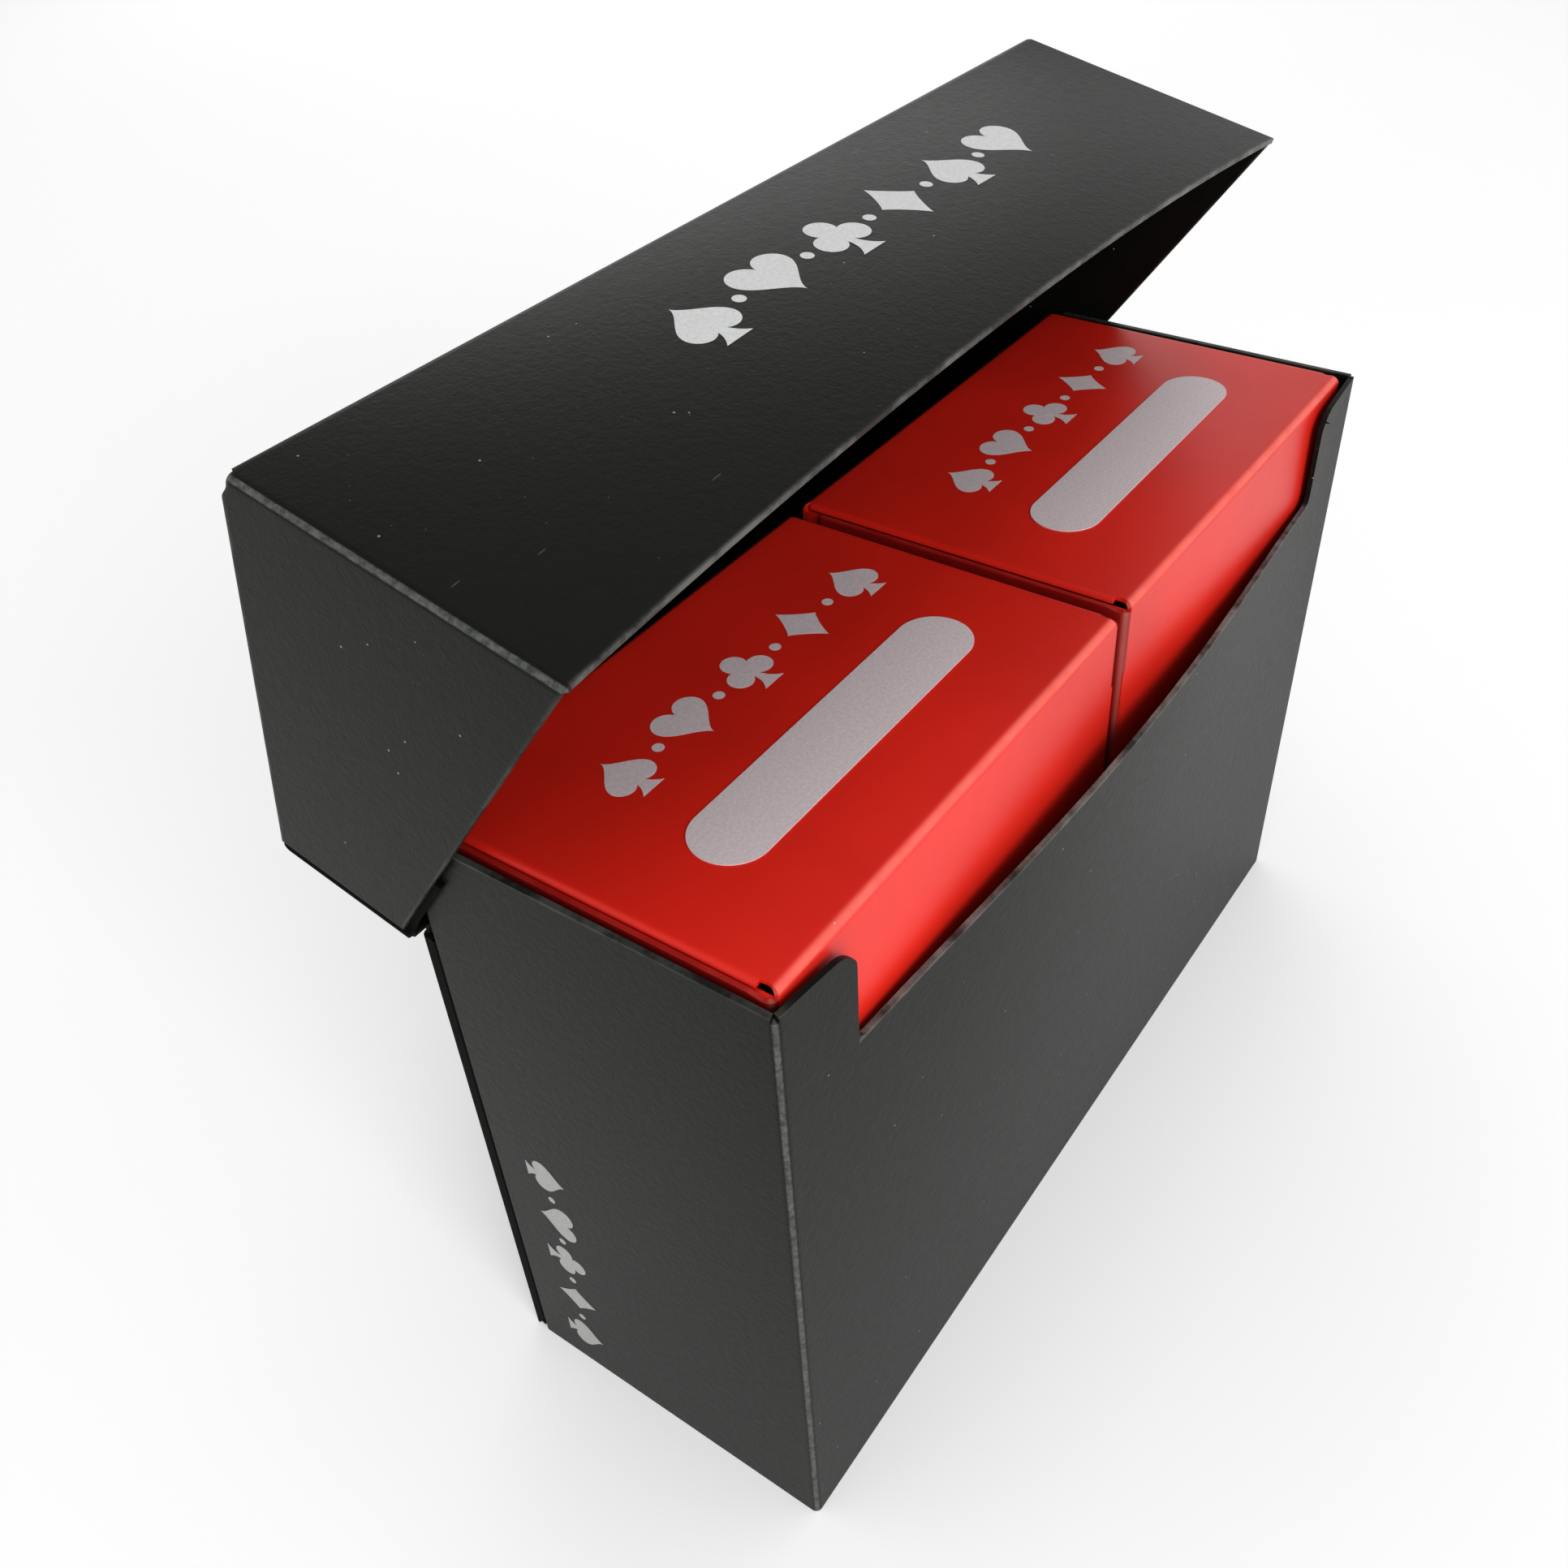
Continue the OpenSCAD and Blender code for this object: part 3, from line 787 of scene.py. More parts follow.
def bottom_surface(sizes, settings):
    """The bottom panel and its tabs as one sheet: a U-shaped section with round folds, carried along Y."""
    radius = settings.fold_radius
    play = 0.02 * MM
    edge = sizes.half_width - sizes.sheet - play
    tab_back, tab_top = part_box("left_bottom_tab")[1][1:]
    tab_z = stations(tab_top, (radius, 1.0 * MM))
    tab = np.stack([np.full_like(tab_z, -edge), tab_z], axis=-1)
    fold = arc((-edge + radius, radius), radius, 180, 270, FOLD_STEPS)
    floor_x = stations(-edge + radius, (-edge + radius + 2 * MM, CLOSE), (0.0, 2 * MM))[1:]
    floor = np.stack([floor_x, np.zeros_like(floor_x)], axis=-1)
    section = mirrored(np.concatenate([tab, fold, floor]))
    front, back = sizes.front + sizes.sheet + play, sizes.back - sizes.sheet - play
    lengths = stations(back, (tab_back, WIDE), (front, WIDE))
    x, z, y, layers = ribbon_surface(section, len(tab), lengths, settings)
    keep = ~((cell_middles(z) > radius) & (cell_middles(y) > tab_back))
    return np.stack([x, y, z], axis=-1), keep, layers


def hinge_surface(sizes, settings):
    """The scored strip of sheet that joins the back panel to the lid: flat when closed, bent at the hinge.

    Each row is the closed strip's, turned by the opening angle times a smooth cubic of its height."""
    reach = settings.hinge_reach
    end = sizes.half_width - settings.fold_radius - settings.tab_gap
    across = stations(end, (-end, 3 * MM))
    height = np.linspace(-reach, reach, HINGE_ROWS)
    x, up = np.meshgrid(across, height)
    lift = settings.hinge_lift * (1 - (up / reach) ** 4)
    groove = settings.hinge_groove * ridge(up, settings.groove_width)
    closed = np.stack([x, sizes.back + lift - groove, sizes.hinge_height + up], axis=-1)
    turn = -CLOSED_ANGLE * smooth(up, -settings.hinge_bend, settings.hinge_bend)
    crease = settings.hinge_crease * ridge(up, 0.3 * MM)
    # Painted shade, even over the whole hinge strip
    layers = {"crease": crease, "dull": np.full_like(x, settings.hinge_painted_shade)}
    return turned(closed, turn), layers


# Prints ----------------------------------------------------------------------------------------------------

SUITS = ("spade", "heart", "club", "diamond")
INK_THICKNESS = 0.02 * MM
WELD_DISTANCE = 0.00005 * MM
OVERLAP_LIFT = 0.006 * MM

# The rows of suits: how many, the row's length, a suit's height and a dot's width
FLAP_ROW = (6, 62 * MM, 9.5 * MM, 1.6 * MM)
BOX_ROW = (5, 43 * MM, 7.6 * MM, 1.4 * MM)
SIDE_ROW = (5, 36 * MM, 6.4 * MM, 1.1 * MM)


def disc_outline(centre_x, centre_y, size):
    """A circle about a centre."""
    angle = np.linspace(0, 2 * np.pi, 40, endpoint=False)
    return centre_x + size * np.cos(angle), centre_y + size * np.sin(angle), (centre_x, centre_y)


def heart_outline(size=1.0, lift=0.0):
    """A heart: 16 sin^3 across, and 13 cos - 5 cos 2a - 2 cos 3a - cos 4a up, about as wide as its size.

    A negative size turns it upside down."""
    angle = np.linspace(0, 2 * np.pi, 72, endpoint=False)[::-1]
    x = 16 * np.sin(angle) ** 3
    y = 13 * np.cos(angle) - 5 * np.cos(2 * angle) - 2 * np.cos(3 * angle) - np.cos(4 * angle)
    return x * size / 32, (y + 2.5) * size / 32 + lift, (0.0, lift)


def diamond_outline():
    """A diamond with slightly hollow sides: a superellipse of power 0.88, taller than wide."""
    angle = np.linspace(0, 2 * np.pi, 64, endpoint=False)
    c, s = np.cos(angle), np.sin(angle)
    power = 2 / 0.88
    return 0.37 * np.sign(c) * np.abs(c) ** power, 0.5 * np.sign(s) * np.abs(s) ** power, (0.0, 0.0)


def stem_outline():
    """A stem that flares to its foot: its half width grows by the cube of the way down."""
    t = np.linspace(0, 1, 12)
    y = -0.05 - 0.45 * t
    half = 0.055 + 0.17 * t ** 3
    x = np.concatenate([-half, half[::-1]])
    return x, np.concatenate([y, y[::-1]]), (0.0, -0.3)


def suit_parts(suit):
    """The outlines that make up a card suit's pip, each with the point that it fans out from."""
    if suit == "heart":
        return [heart_outline()]
    if suit == "diamond":
        return [diamond_outline()]
    if suit == "spade":
        return [heart_outline(-0.86, 0.07), stem_outline()]
    if suit == "club":
        leaves = ((0.0, 0.26, 0.21), (-0.235, -0.05, 0.21), (0.235, -0.05, 0.21), (0.0, 0.02, 0.13))
        return [disc_outline(*leaf) for leaf in leaves] + [stem_outline()]
    return [disc_outline(0.0, 0.0, 0.5)]


def pip_mesh(suit, size, centre, turn, place):
    """Points and faces of one pip: rings from each outline's inner point out to it, laid on a surface.

    place(a, b, lift) gives the point of the surface at a across and b up, raised by lift."""
    all_points, all_faces, start = [], [], 0
    out = np.linspace(0.0, 1.0, 7)[:, None]
    for order, (x, y, (cx, cy)) in enumerate(suit_parts(suit)):
        if np.sum(x * np.roll(y, -1) - y * np.roll(x, -1)) < 0:
            x, y = x[::-1], y[::-1]
        px = cx + out * (x[None, :] - cx)
        py = cy + out * (y[None, :] - cy)
        a = centre[0] + size * (px * np.cos(turn) - py * np.sin(turn))
        b = centre[1] + size * (px * np.sin(turn) + py * np.cos(turn))
        points = place(a, b, OVERLAP_LIFT * order)
        rings, spokes = a.shape
        index = start + np.arange(rings * spokes).reshape(rings, spokes)
        after = np.roll(index, -1, axis=1)
        faces = np.stack([index[:-1], index[1:], after[1:], after[:-1]], axis=-1).reshape(-1, 4)
        all_points.append(points.reshape(-1, 3))
        all_faces.append(faces)
        start += rings * spokes
    return np.concatenate(all_points), np.concatenate(all_faces)


def print_row(name, row, place, middle, turn=0.0):
    """A row of pips as one thin piece of ink, with its centre points closed.

    The row runs along a from its middle, or along falling b where the pips are turned."""
    points, faces, start = [], [], 0
    for suit, along, size in row:
        centre = (middle[0] + along, middle[1]) if turn == 0 else (middle[0], middle[1] - along)
        pip_points, pip_faces = pip_mesh(suit, size, centre, turn, place)
        points.append(pip_points)
        faces.append(pip_faces + start)
        start += len(pip_points)
    piece = make_mesh(name, np.concatenate(points), np.concatenate(faces), smooth_faces=False)
    weld = piece.modifiers.new("Close centres", "WELD")
    weld.merge_threshold = WELD_DISTANCE
    ink = piece.modifiers.new("Ink", "SOLIDIFY")
    ink.thickness = INK_THICKNESS
    ink.offset = -1
    return piece


def row_layout(count, length, size, dot):
    """Suits in turn along a row of the given length, with a small dot between each two.

    Each is its suit, its distance from the row's middle and its size."""
    row = []
    for place in range(2 * count - 1):
        suit, suit_size = ("dot", dot) if place % 2 else (SUITS[place // 2 % len(SUITS)], size)
        row.append((suit, length * (place / (2 * count - 2) - 0.5), suit_size))
    return row


# Settings --------------------------------------------------------------------------------------------------


def length(name, description, default):
    """A setting in metres."""
    return FloatProperty(name=name, description=description, default=default, unit="LENGTH", precision=5)


def share(name, description, default):
    """A setting from 0 to about 1."""
    return FloatProperty(name=name, description=description, default=default, min=0.0, soft_max=1.0)


def colour(name, description, default):
    """A linear colour."""
    return FloatVectorProperty(
        name=name, description=description, default=default, subtype="COLOR", size=3, min=0.0, max=1.0
    )


def degrees(name, description, default):
    """An angle whose default is given in degrees."""
    return FloatProperty(name=name, description=description, default=np.radians(default), subtype="ANGLE")


def power(name, watts):
    """A light's power in watts."""
    return FloatProperty(name=name, description=f"Power of the {name.lower()}", default=watts, unit="POWER")


class DeckBoxSheets(bpy.types.PropertyGroup):
    """Sizes of the folds, edges and prints of the sheets."""

    fold_radius: length("Black fold radius", "Outer radius of a fold in the black sheet", 0.9 * MM)
    red_fold_radius: length("Red fold radius", "Outer radius of a fold in the red sheet", 1.1 * MM)
    red_side_radius: length("Red side radius", "Outer radius of the folds beside a card box's top", 0.72 * MM)
    edge_round: length("Edge rounding", "Rounding of a sheet's cut edge", 0.1 * MM)
    corner_radius: length("Corner radius", "Radius at the top of each front corner", 3.0 * MM)
    recess_radius: length("Recess radius", "Radius in the lower corners of the finger recess", 1.6 * MM)
    side_swell: length("Side swell", "How far the side panels swell in the middle", 0.1 * MM)
    hinge_reach: length("Hinge reach", "How far the hinge strip reaches to each side of the hinge", 2.2 * MM)
    hinge_bend: length("Hinge bend", "How far from the hinge the strip still bends", 1.0 * MM)
    hinge_lift: length("Hinge lift", "How far the strip stands proud of the sheets", 0.12 * MM)
    hinge_sink: length("Hinge sink", "How far the strip reaches into the sheets", 0.1 * MM)
    hinge_groove: length("Hinge groove", "Depth of the scored line along the hinge", 0.15 * MM)
    tab_fall: length("Tab fall", "How far the top of a front corner falls towards the recess", 1.4 * MM)
    relief_bite: length("Relief bite", "How far a relief hole cuts into the top's edge", 0.1 * MM)
    tab_gap: length("Tab gap", "Gap between an ear and the tab folded inside it", 0.1 * MM)
    tab_show: length("Tab show", "How far a tab at the hinge shows below its ear", 0.8 * MM)
    ear_setback: length("Ear setback", "How far the lid's ears stop short of its back", 1.8 * MM)
    notch_width: length("Notch width", "Width of the notch at the top of a vertical fold", 0.9 * MM)
    notch_depth: length("Notch depth", "Depth of the notch at the top of a vertical fold", 0.9 * MM)
    crease_width: length("Crease width", "Width of the whitening along a fold", 0.54 * MM)
    # Painted highlight: the strength of the light line painted along an ear's top edge, and the width of the
    # light line painted along every cut edge
    ear_top_highlight: share("Ear top edge", "Whitening of the top edge of an ear", 0.6)
    edge_width: length("Edge whitening", "Width of the whitening along a cut edge", 0.22 * MM)
    groove_width: length("Groove width", "Width of the scored line along the hinge", 0.35 * MM)
    side_shortening: length("Side shortening", "How far a side panel stops short of its CAD panel", 0.6 * MM)
    black_relief: length("Black relief", "Length of the holes behind the lid's front fold", 0.5 * MM)
    red_relief: length("Red relief", "Length of the holes behind a card box's front fold", 1.1 * MM)
    # Painted highlight: the strength of the light line painted along the carrier's top, lower and rear edges,
    # a flap's free edge and an ear's lower edge, and the share of an ear's light line that a red ear has
    top_edge_highlight: share("Top edge", "Whitening of the carrier's top edges", 0.35)
    end_edge_highlight: share("Bottom edge", "Whitening of the carrier's lower and rear edges", 0.3)
    flap_edge_highlight: share("Flap edge", "Whitening of a flap's free edge", 0.7)
    ear_low_highlight: share("Ear lower edge", "Whitening of the lower edge of an ear", 0.25)
    red_ear_highlight: share("Red ear edge", "How much of an ear's whitening a red ear has", 0.4)
    rear_crease: share("Rear crease", "How much of the folds' whitening the back's folds have", 0.3)
    hinge_crease: share("Hinge crease", "Whitening along the middle of the hinge strip", 0.35)
    # Painted shade: how far the hinge strip is darkened
    hinge_painted_shade: share("Hinge shade", "Darkening of the hinge strip", 0.3)
    crease_strength: share("Carrier crease", "Whitening of the carrier's folds", 0.8)
    top_crease: share("Top crease", "Whitening of the folds beside the lid's top", 0.25)
    # Painted highlight: how strong and how wide the pale band painted along a card box's front fold is
    red_highlight: share("Red crease", "Paleness of the fold at the front of a card box's top", 0.6)
    red_highlight_width: length("Red crease width", "Width of the pale band along a red fold", 0.9 * MM)
    side_crease_strength: share("Ear crease", "Whitening of the folds between a flap and its ears", 1.0)
    ink_lift: length("Ink height", "Height of the ink above the sheet", 0.025 * MM)


class DeckBoxFinishes(bpy.types.PropertyGroup):
    """Colours and gloss of the sheets and the ink."""

    black: colour("Black sheet", "Colour of the black sheet", (0.0044, 0.0048, 0.0039))
    black_roughness: share("Black roughness", "Roughness of the black sheet", 0.36)
    black_gloss: share("Black gloss", "Specular level of the black sheet", 0.1)
    black_tint: colour("Black tint", "Tint of the black sheet's gloss", (0.97, 1.0, 0.9))
    # Painted highlight: the light colour painted along the black sheet's cut edges
    crease_colour: colour("Black crease", "Colour of a whitened fold", (0.105, 0.11, 0.1))
    edge_highlight_colour: colour("Black edge", "Colour of a whitened edge", (0.16, 0.165, 0.155))
    red: colour("Red sheet", "Colour of the red sheet", (0.8, 0.018, 0.0085))
    red_roughness: share("Red roughness", "Roughness of the red sheet", 0.36)
    red_gloss: share("Red gloss", "Specular level of the red sheet", 0.3)
    # Painted highlight: the pale pink painted along a card box's folds and cut edges
    red_highlight: colour("Red crease", "Colour of a fold in the red sheet", (1.0, 0.2, 0.15))
    # Painted shade: the dark colour painted on a card box's ears in the gaps beside it
    red_shade: colour("Red shade", "Colour of a card box's ears, in the gaps beside it", (0.12, 0.002, 0.003))
    white_ink: colour("White ink", "Colour of the ink on the lid's flap", (0.68, 0.69, 0.68))
    side_ink: colour("Side ink", "Colour of the worn ink on the left side", (0.39, 0.395, 0.385))
    pale_ink: colour("Pale ink", "Colour of the ink on the red sheet", (0.78, 0.665, 0.68))


class DeckBoxStage(bpy.types.PropertyGroup):
    """The camera's place and the studio."""

    camera_place: FloatVectorProperty(
        name="Camera place", description="Where the camera stands", subtype="TRANSLATION", size=3,
        unit="LENGTH", default=(-0.14053, -0.0807, 0.19818),
    )
    azimuth: degrees("Azimuth", "Heading from +Y to +X", 52.054)
    elevation: degrees("Elevation", "Angle looked down", 40.388)
    roll: degrees("Roll", "Dip of the camera's right side", 4.06)
    lens: FloatProperty(name="Lens", description="Focal length in millimetres", default=35.025)
    floor_size: length("Floor size", "Side of the floor", 8.0)
    world: share("Surround", "Strength of the pale surround", 0.98)
    overhead: share("Overhead", "Share of the surround that is left overhead", 0.4)
    floor_glow: share("Floor glow", "How much the floor lights up", 0.2)
    front_power: power("Front light", 4.0)
    back_power: power("Back light", 0.8)
    top_power: power("Top light", 1.2)


# Operators -------------------------------------------------------------------------------------------------


def settings_of(context):
    """The settings of the sheets and of the finishes."""
    return context.scene.deck_box_sheets, context.scene.deck_box_finishes


class DECK_OT_carrier(bpy.types.Operator):
    """Folds the front and side panels of the outer box from one black sheet"""

    bl_idname = "deck.carrier"
    bl_label = "Carrier Sheet"

    def execute(self, context):
        sheets, looks = settings_of(context)
        sizes = CarrierSizes(sheets)
        piece = folded_sheet("carrier_sheet", *carrier_surface(sizes, sheets), sizes.sheet, sheets)
        nodes = ("front_panel", "left_side_panel", "right_side_panel")
        finish_piece(piece, "carrier", black_sheet(looks), nodes)
        return {"FINISHED"}


class DECK_OT_rear(bpy.types.Operator):
    """Folds the back panel with its glue tabs, and the bottom with its tabs"""

    bl_idname = "deck.rear"
    bl_label = "Back and Bottom"

    def execute(self, context):
        sheets, looks = settings_of(context)
        sizes = CarrierSizes(sheets)
        back = folded_sheet("rear_sheet", *rear_surface(sizes, sheets), sizes.sheet, sheets)
        nodes = ("back_panel", "left_glue_tab", "right_glue_tab")
        finish_piece(back, "carrier", black_sheet(looks), nodes)
        bottom = folded_sheet("bottom_sheet", *bottom_surface(sizes, sheets), sizes.sheet, sheets)
        nodes = ("bottom_panel", "left_bottom_tab", "right_bottom_tab")
        finish_piece(bottom, "carrier", black_sheet(looks), nodes)
        return {"FINISHED"}


class DECK_OT_hinge(bpy.types.Operator):
    """Lays the scored strip of sheet that bends between the back panel and the lid"""

    bl_idname = "deck.hinge"
    bl_label = "Hinge Strip"

    def execute(self, context):
        sheets, looks = settings_of(context)
        points, layers = hinge_surface(CarrierSizes(sheets), sheets)
        strip = make_mesh("hinge_strip", points, grid_faces(*points.shape[:2]), layers)
        solid = strip.modifiers.new("Sheet", "SOLIDIFY")
        solid.thickness = sheets.hinge_lift + sheets.hinge_sink
        solid.offset = -1
        strip.data.materials.append(black_sheet(looks))
        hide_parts("hinge_crease")
        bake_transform(strip)
        return {"FINISHED"}


def lid_cover_sizes():
    """Sizes of the lid, closed."""
    parts = ("top_panel", "front_flap", "left_ear", "right_ear", "back_strip")
    return CoverSizes(*[closed_points(f"lid_{part}") for part in parts])


def box_cover_sizes(side):
    """Sizes of the cover of the left or the right card box."""
    parts = ("top", "front_flap", "left_ear", "right_ear", "back_strip")
    return CoverSizes(*[node_points(f"{side}_box_{part}") for part in parts])


class DECK_OT_lid(bpy.types.Operator):
    """Folds the lid's flap, ears, top and back strip from one black sheet"""

    bl_idname = "deck.lid"
    bl_label = "Lid Sheet"

    def execute(self, context):
        sheets, looks = settings_of(context)
        cover = lid_cover_sizes()
        top_tab = closed_points("lid_left_top_tab")
        folding = Folding(
            sheet=CarrierSizes(sheets).sheet, radius=sheets.fold_radius, tab_radius=sheets.fold_radius,
            crease=sheets.top_crease, crease_width=sheets.crease_width,
            top_tab=cover.top - top_tab[:, 2].min(), tab_back=top_tab[:, 1].max(),
            strip_tab=cover.back - closed_points("lid_left_rear_tab")[:, 1].min(),
            relief=sheets.fold_radius + sheets.black_relief, setback=sheets.ear_setback,
        )
        points, keep, layers = cover_surface(cover, folding, sheets)
        piece = folded_sheet("lid_sheet", opened(points), keep, layers, folding.sheet, sheets)
        parts = ("top_panel", "front_flap", "back_strip", "left_ear", "right_ear", "left_top_tab",
                 "right_top_tab", "left_rear_tab", "right_rear_tab")
        nodes = [f"lid_{part}" for part in parts]
        finish_piece(piece, "lid", black_sheet(looks), nodes)
        return {"FINISHED"}


class DECK_OT_card_boxes(bpy.types.Operator):
    """Folds the cover of each red card box: its flap, ears, top and back strip"""

    bl_idname = "deck.card_boxes"
    bl_label = "Card Box Covers"

    def execute(self, context):
        sheets, looks = settings_of(context)
        for side in ("left", "right"):
            low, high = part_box(f"{side}_box_top")
            folding = Folding(
                sheet=high[2] - low[2], radius=sheets.red_fold_radius, tab_radius=sheets.red_side_radius,
                crease=sheets.red_highlight, crease_width=sheets.red_highlight_width,
                top_tab=sheets.red_side_radius, relief=sheets.red_fold_radius + sheets.red_relief,
            )
            surface = cover_surface(box_cover_sizes(side), folding, sheets)
            piece = folded_sheet(f"{side}_box_cover", *surface, folding.sheet, sheets)
            parts = ("top", "front_flap", "back_strip", "left_ear", "right_ear")
            nodes = [f"{side}_box_{part}" for part in parts]
            finish_piece(piece, "carrier", red_sheet(looks), nodes)
        return {"FINISHED"}


class DECK_OT_walls(bpy.types.Operator):
    """Gives the CAD pieces their finishes: card box walls and writing strips, and the pieces replaced"""

    bl_idname = "deck.walls"
    bl_label = "Walls and Tabs"

    def execute(self, context):
        looks = settings_of(context)[1]
        for name, node in frame["nodes"].items():
            if name.endswith("_label"):
                material = pale_print("label_print", looks.pale_ink, looks.red)
            elif "_box_" in name:
                material = red_sheet(looks)
            else:
                material = black_sheet(looks)
            if not node.material_slots:
                node.data.materials.append(material)
            for slot in node.material_slots:
                slot.material = material
        return {"FINISHED"}


class DECK_OT_prints(bpy.types.Operator):
    """Prints rows of card suits on the lid's flap, the card boxes' tops and the left side"""

    bl_idname = "deck.prints"
    bl_label = "Printed Suits"

    def execute(self, context):
        sheets, looks = settings_of(context)
        lift = sheets.ink_lift
        lid = lid_cover_sizes()

        def on_flap(a, b, extra):
            down = np.abs(b)
            y = lid.front - cover_bow(lid, a, down) - lift - extra
            return opened(np.stack([a, y, lid.top - down], axis=-1))

        row = print_row("flap_print", row_layout(*FLAP_ROW), on_flap, (4.5 * MM, -17 * MM))
        finish_piece(row, "lid", pale_print("white_print", looks.white_ink, looks.black))

        pale = pale_print("pale_print", looks.pale_ink, looks.red)
        for side in ("left", "right"):
            low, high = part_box(f"{side}_box_top")

            def on_top(a, b, extra):
                return np.stack([a, b, np.full_like(a, high[2] + lift + extra)], axis=-1)

            middle = (0.5 * (low[0] + high[0]) + 3.5 * MM, low[1] + 31.5 * MM)
            row = print_row(f"{side}_box_print", row_layout(*BOX_ROW), on_top, middle)
            finish_piece(row, "carrier", pale)

        carrier = CarrierSizes(sheets)

        def on_side(a, b, extra):
            swell = side_swell(-a, b, carrier, sheets)
            return np.stack([-(carrier.half_width + swell + lift + extra), -a, b], axis=-1)

        middle = (-carrier.front - 38 * MM, 25 * MM)
        row = print_row("side_print", row_layout(*SIDE_ROW), on_side, middle, turn=-0.5 * np.pi)
        finish_piece(row, "carrier", pale_print("side_ink", looks.side_ink, looks.black))
        return {"FINISHED"}


# The studio's lights: name, place in metres, side in metres and the setting of its power
LIGHTS = (
    ("front_light", (-0.4, -0.8, 0.5), 0.5, "front_power"),
    ("top_light", (0.0, 0.0, 1.1), 0.6, "top_power"),
    ("rim_light", (0.7, 0.6, 0.35), 0.6, "back_power"),
)
LIGHT_TARGET = (0.0, 0.0, 0.05)


def add_light(name, place, size, power):
    """A square soft light that looks at the middle of the box."""
    lamp = bpy.data.lights.new(name, "AREA")
    lamp.shape = "SQUARE"
    lamp.size = size
    lamp.energy = power
    light = bpy.data.objects.new(name, lamp)
    light.location = place
    aim = Vector(LIGHT_TARGET) - Vector(place)
    light.rotation_euler = aim.to_track_quat("-Z", "Y").to_euler()
    bpy.context.scene.collection.objects.link(light)


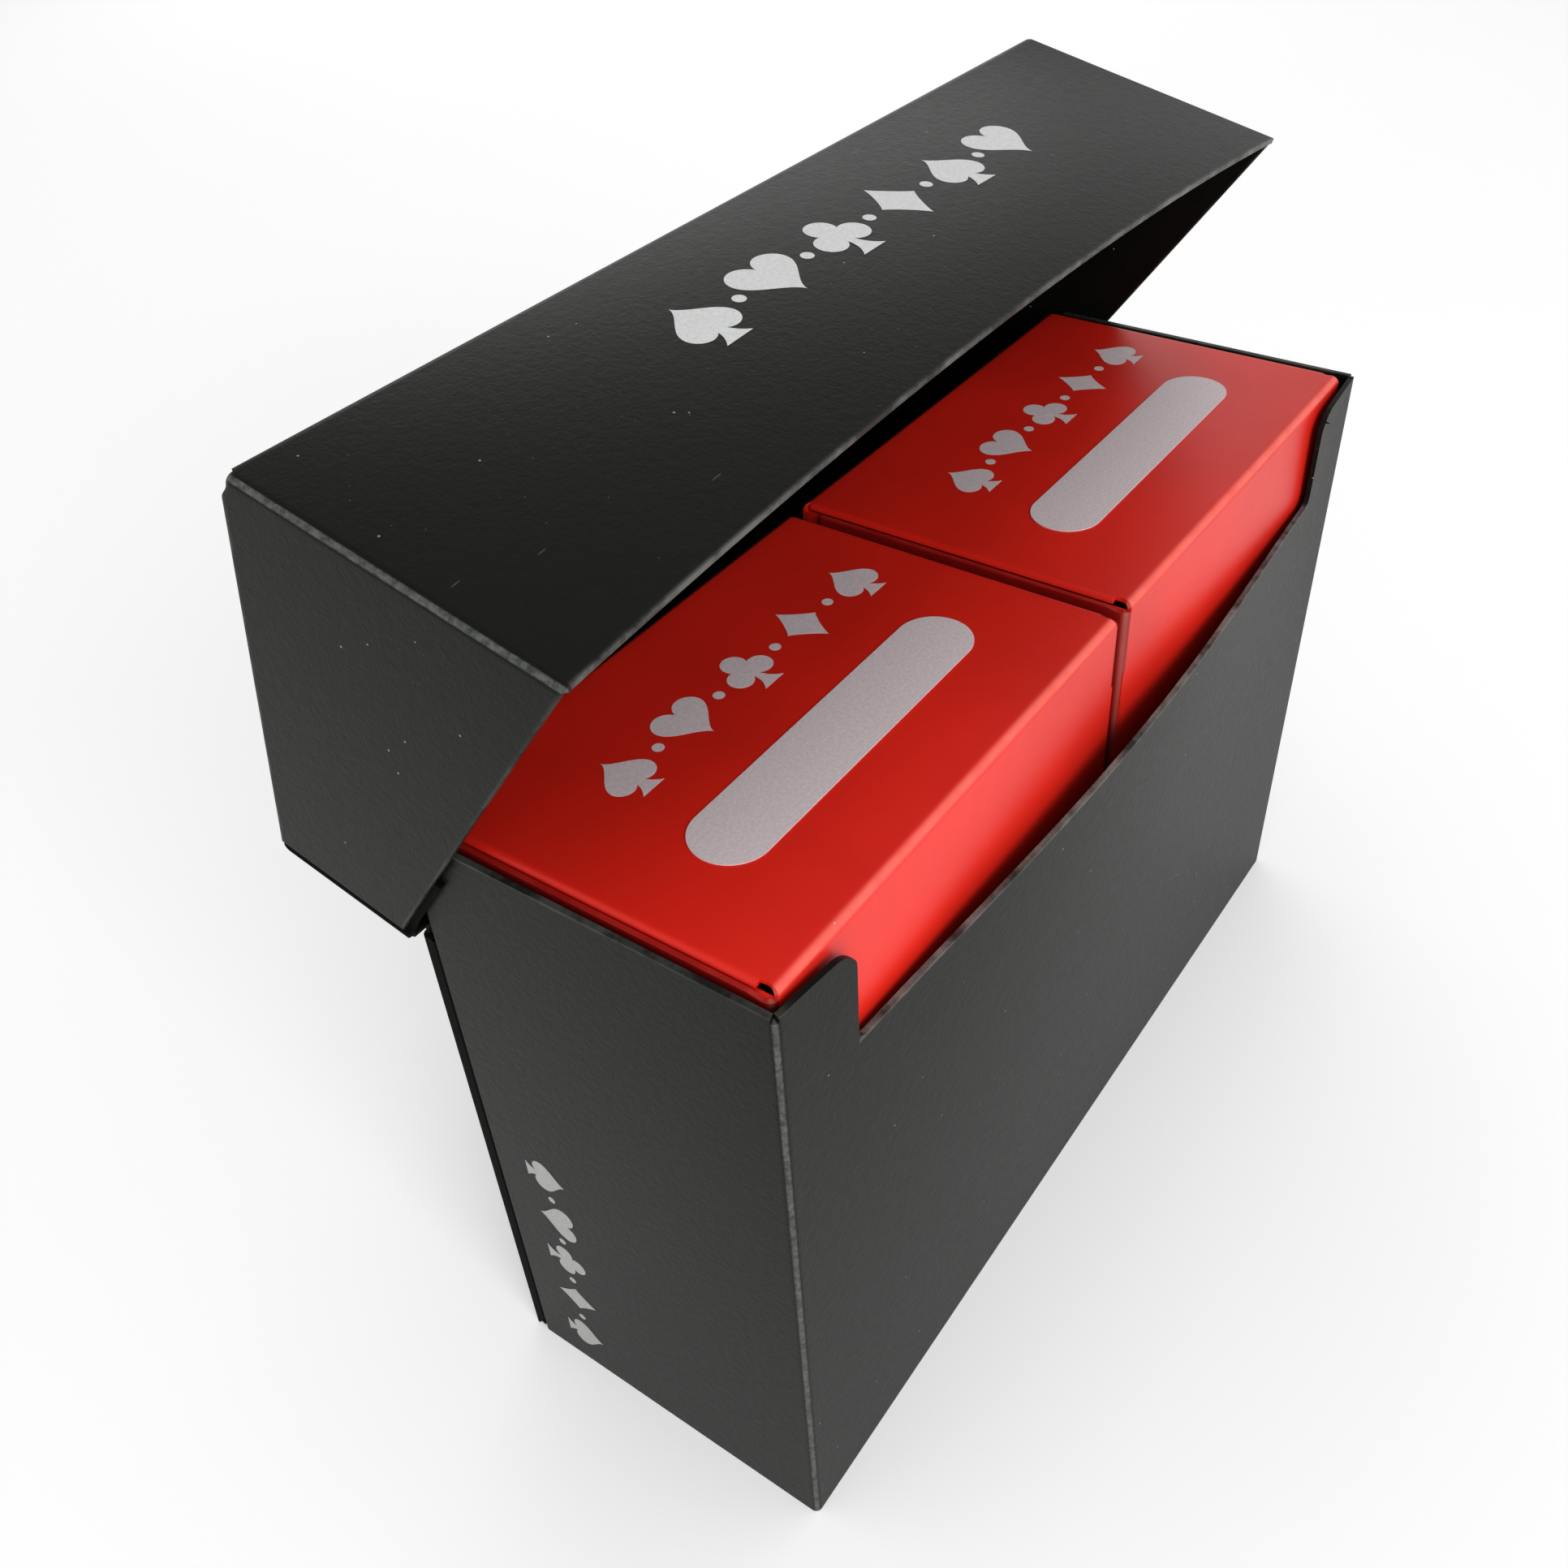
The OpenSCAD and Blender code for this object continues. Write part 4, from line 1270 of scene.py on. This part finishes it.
class DECK_OT_stage(bpy.types.Operator):
    """Sets up the camera, the soft lights and the plain pale floor"""

    bl_idname = "deck.stage"
    bl_label = "Camera, Lights and Floor"

    def execute(self, context):
        stage = context.scene.deck_box_stage
        self.add_camera(context, stage)
        self.add_floor(stage)
        for name, place, size, power_setting in LIGHTS:
            add_light(name, place, size, getattr(stage, power_setting))
        context.scene.world = self.add_surround(stage)
        context.scene.view_settings.view_transform = "Standard"
        return {"FINISHED"}

    def add_surround(self, stage):
        """A pale surround that is darker overhead."""
        world = bpy.data.worlds.new("pale_surround")
        world.use_nodes = True
        nodes, links = world.node_tree.nodes, world.node_tree.links
        direction = nodes.new("ShaderNodeTexCoord").outputs["Generated"]
        split = nodes.new("ShaderNodeSeparateXYZ")
        shade = nodes.new("ShaderNodeValToRGB")
        Finish.set_stops(shade.color_ramp, ((0.35, 1.0), (0.85, stage.overhead)))
        links.new(direction, split.inputs[0])
        links.new(split.outputs["Z"], shade.inputs[0])
        links.new(shade.outputs[0], nodes["Background"].inputs["Color"])
        nodes["Background"].inputs["Strength"].default_value = stage.world
        return world

    def add_camera(self, context, stage):
        """A camera that looks along its azimuth and elevation, rolled about its axis."""
        az, el, roll = stage.azimuth, stage.elevation, stage.roll
        forward = Vector((np.sin(az) * np.cos(el), np.cos(az) * np.cos(el), -np.sin(el)))
        level = Vector((np.cos(az), -np.sin(az), 0.0))
        up = level.cross(forward)
        right = level * np.cos(roll) - up * np.sin(roll)
        camera = bpy.data.cameras.new("camera")
        camera.lens = stage.lens
        camera.sensor_width = 36.0
        camera.clip_start = 0.01
        holder = bpy.data.objects.new("camera", camera)
        turn = Matrix((right, right.cross(forward), -forward)).transposed()
        holder.matrix_world = Matrix.Translation(stage.camera_place) @ turn.to_4x4()
        context.scene.collection.objects.link(holder)
        context.scene.camera = holder

    def add_floor(self, stage):
        """A plain pale floor that glows a little."""
        half = stage.floor_size / 2
        side = np.linspace(-half, half, 9)
        x, y = np.meshgrid(side, side)
        floor = make_mesh("floor", np.stack([x, y, np.zeros_like(x)], axis=-1), grid_faces(9, 9))
        finish = Finish("floor_paper", Roughness=0.9, Specular_IOR_Level=0.2)
        finish.feed("Emission Color", (1.0, 1.0, 1.0, 1.0))
        finish.feed("Emission Strength", stage.floor_glow)
        finish.feed("Base Color", finish.ramp(finish.noise(3.0), (0.3, 0.93), (0.7, 0.95)))
        floor.data.materials.append(finish.material)


class DECK_PT_panel(bpy.types.Panel):
    """Lists the pieces of the deck box and their settings"""

    bl_label = "Double Deck Box"
    bl_idname = "DECK_PT_panel"
    bl_space_type = "VIEW_3D"
    bl_region_type = "UI"
    bl_category = "Deck Box"

    def draw(self, context):
        for operator in OPERATORS:
            self.layout.operator(operator.bl_idname)
        for group in ("deck_box_sheets", "deck_box_finishes", "deck_box_stage"):
            box = self.layout.box()
            settings = getattr(context.scene, group)
            for name in type(settings).__annotations__:
                box.prop(settings, name)


OPERATORS = (
    DECK_OT_stage, DECK_OT_walls, DECK_OT_carrier, DECK_OT_rear, DECK_OT_hinge, DECK_OT_lid,
    DECK_OT_card_boxes, DECK_OT_prints,
)
GROUPS = (DeckBoxSheets, DeckBoxFinishes, DeckBoxStage)


def register():
    for item in GROUPS + OPERATORS + (DECK_PT_panel,):
        bpy.utils.register_class(item)
    bpy.types.Scene.deck_box_sheets = PointerProperty(type=DeckBoxSheets)
    bpy.types.Scene.deck_box_finishes = PointerProperty(type=DeckBoxFinishes)
    bpy.types.Scene.deck_box_stage = PointerProperty(type=DeckBoxStage)


def unregister():
    del bpy.types.Scene.deck_box_stage
    del bpy.types.Scene.deck_box_finishes
    del bpy.types.Scene.deck_box_sheets
    for item in reversed(GROUPS + OPERATORS + (DECK_PT_panel,)):
        bpy.utils.unregister_class(item)


def main():
    register()
    bpy.ops.deck.stage()
    bpy.ops.deck.walls()
    bpy.ops.deck.carrier()
    bpy.ops.deck.rear()
    bpy.ops.deck.hinge()
    bpy.ops.deck.lid()
    bpy.ops.deck.card_boxes()
    bpy.ops.deck.prints()
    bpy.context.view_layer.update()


if __name__ == "__main__":
    main()
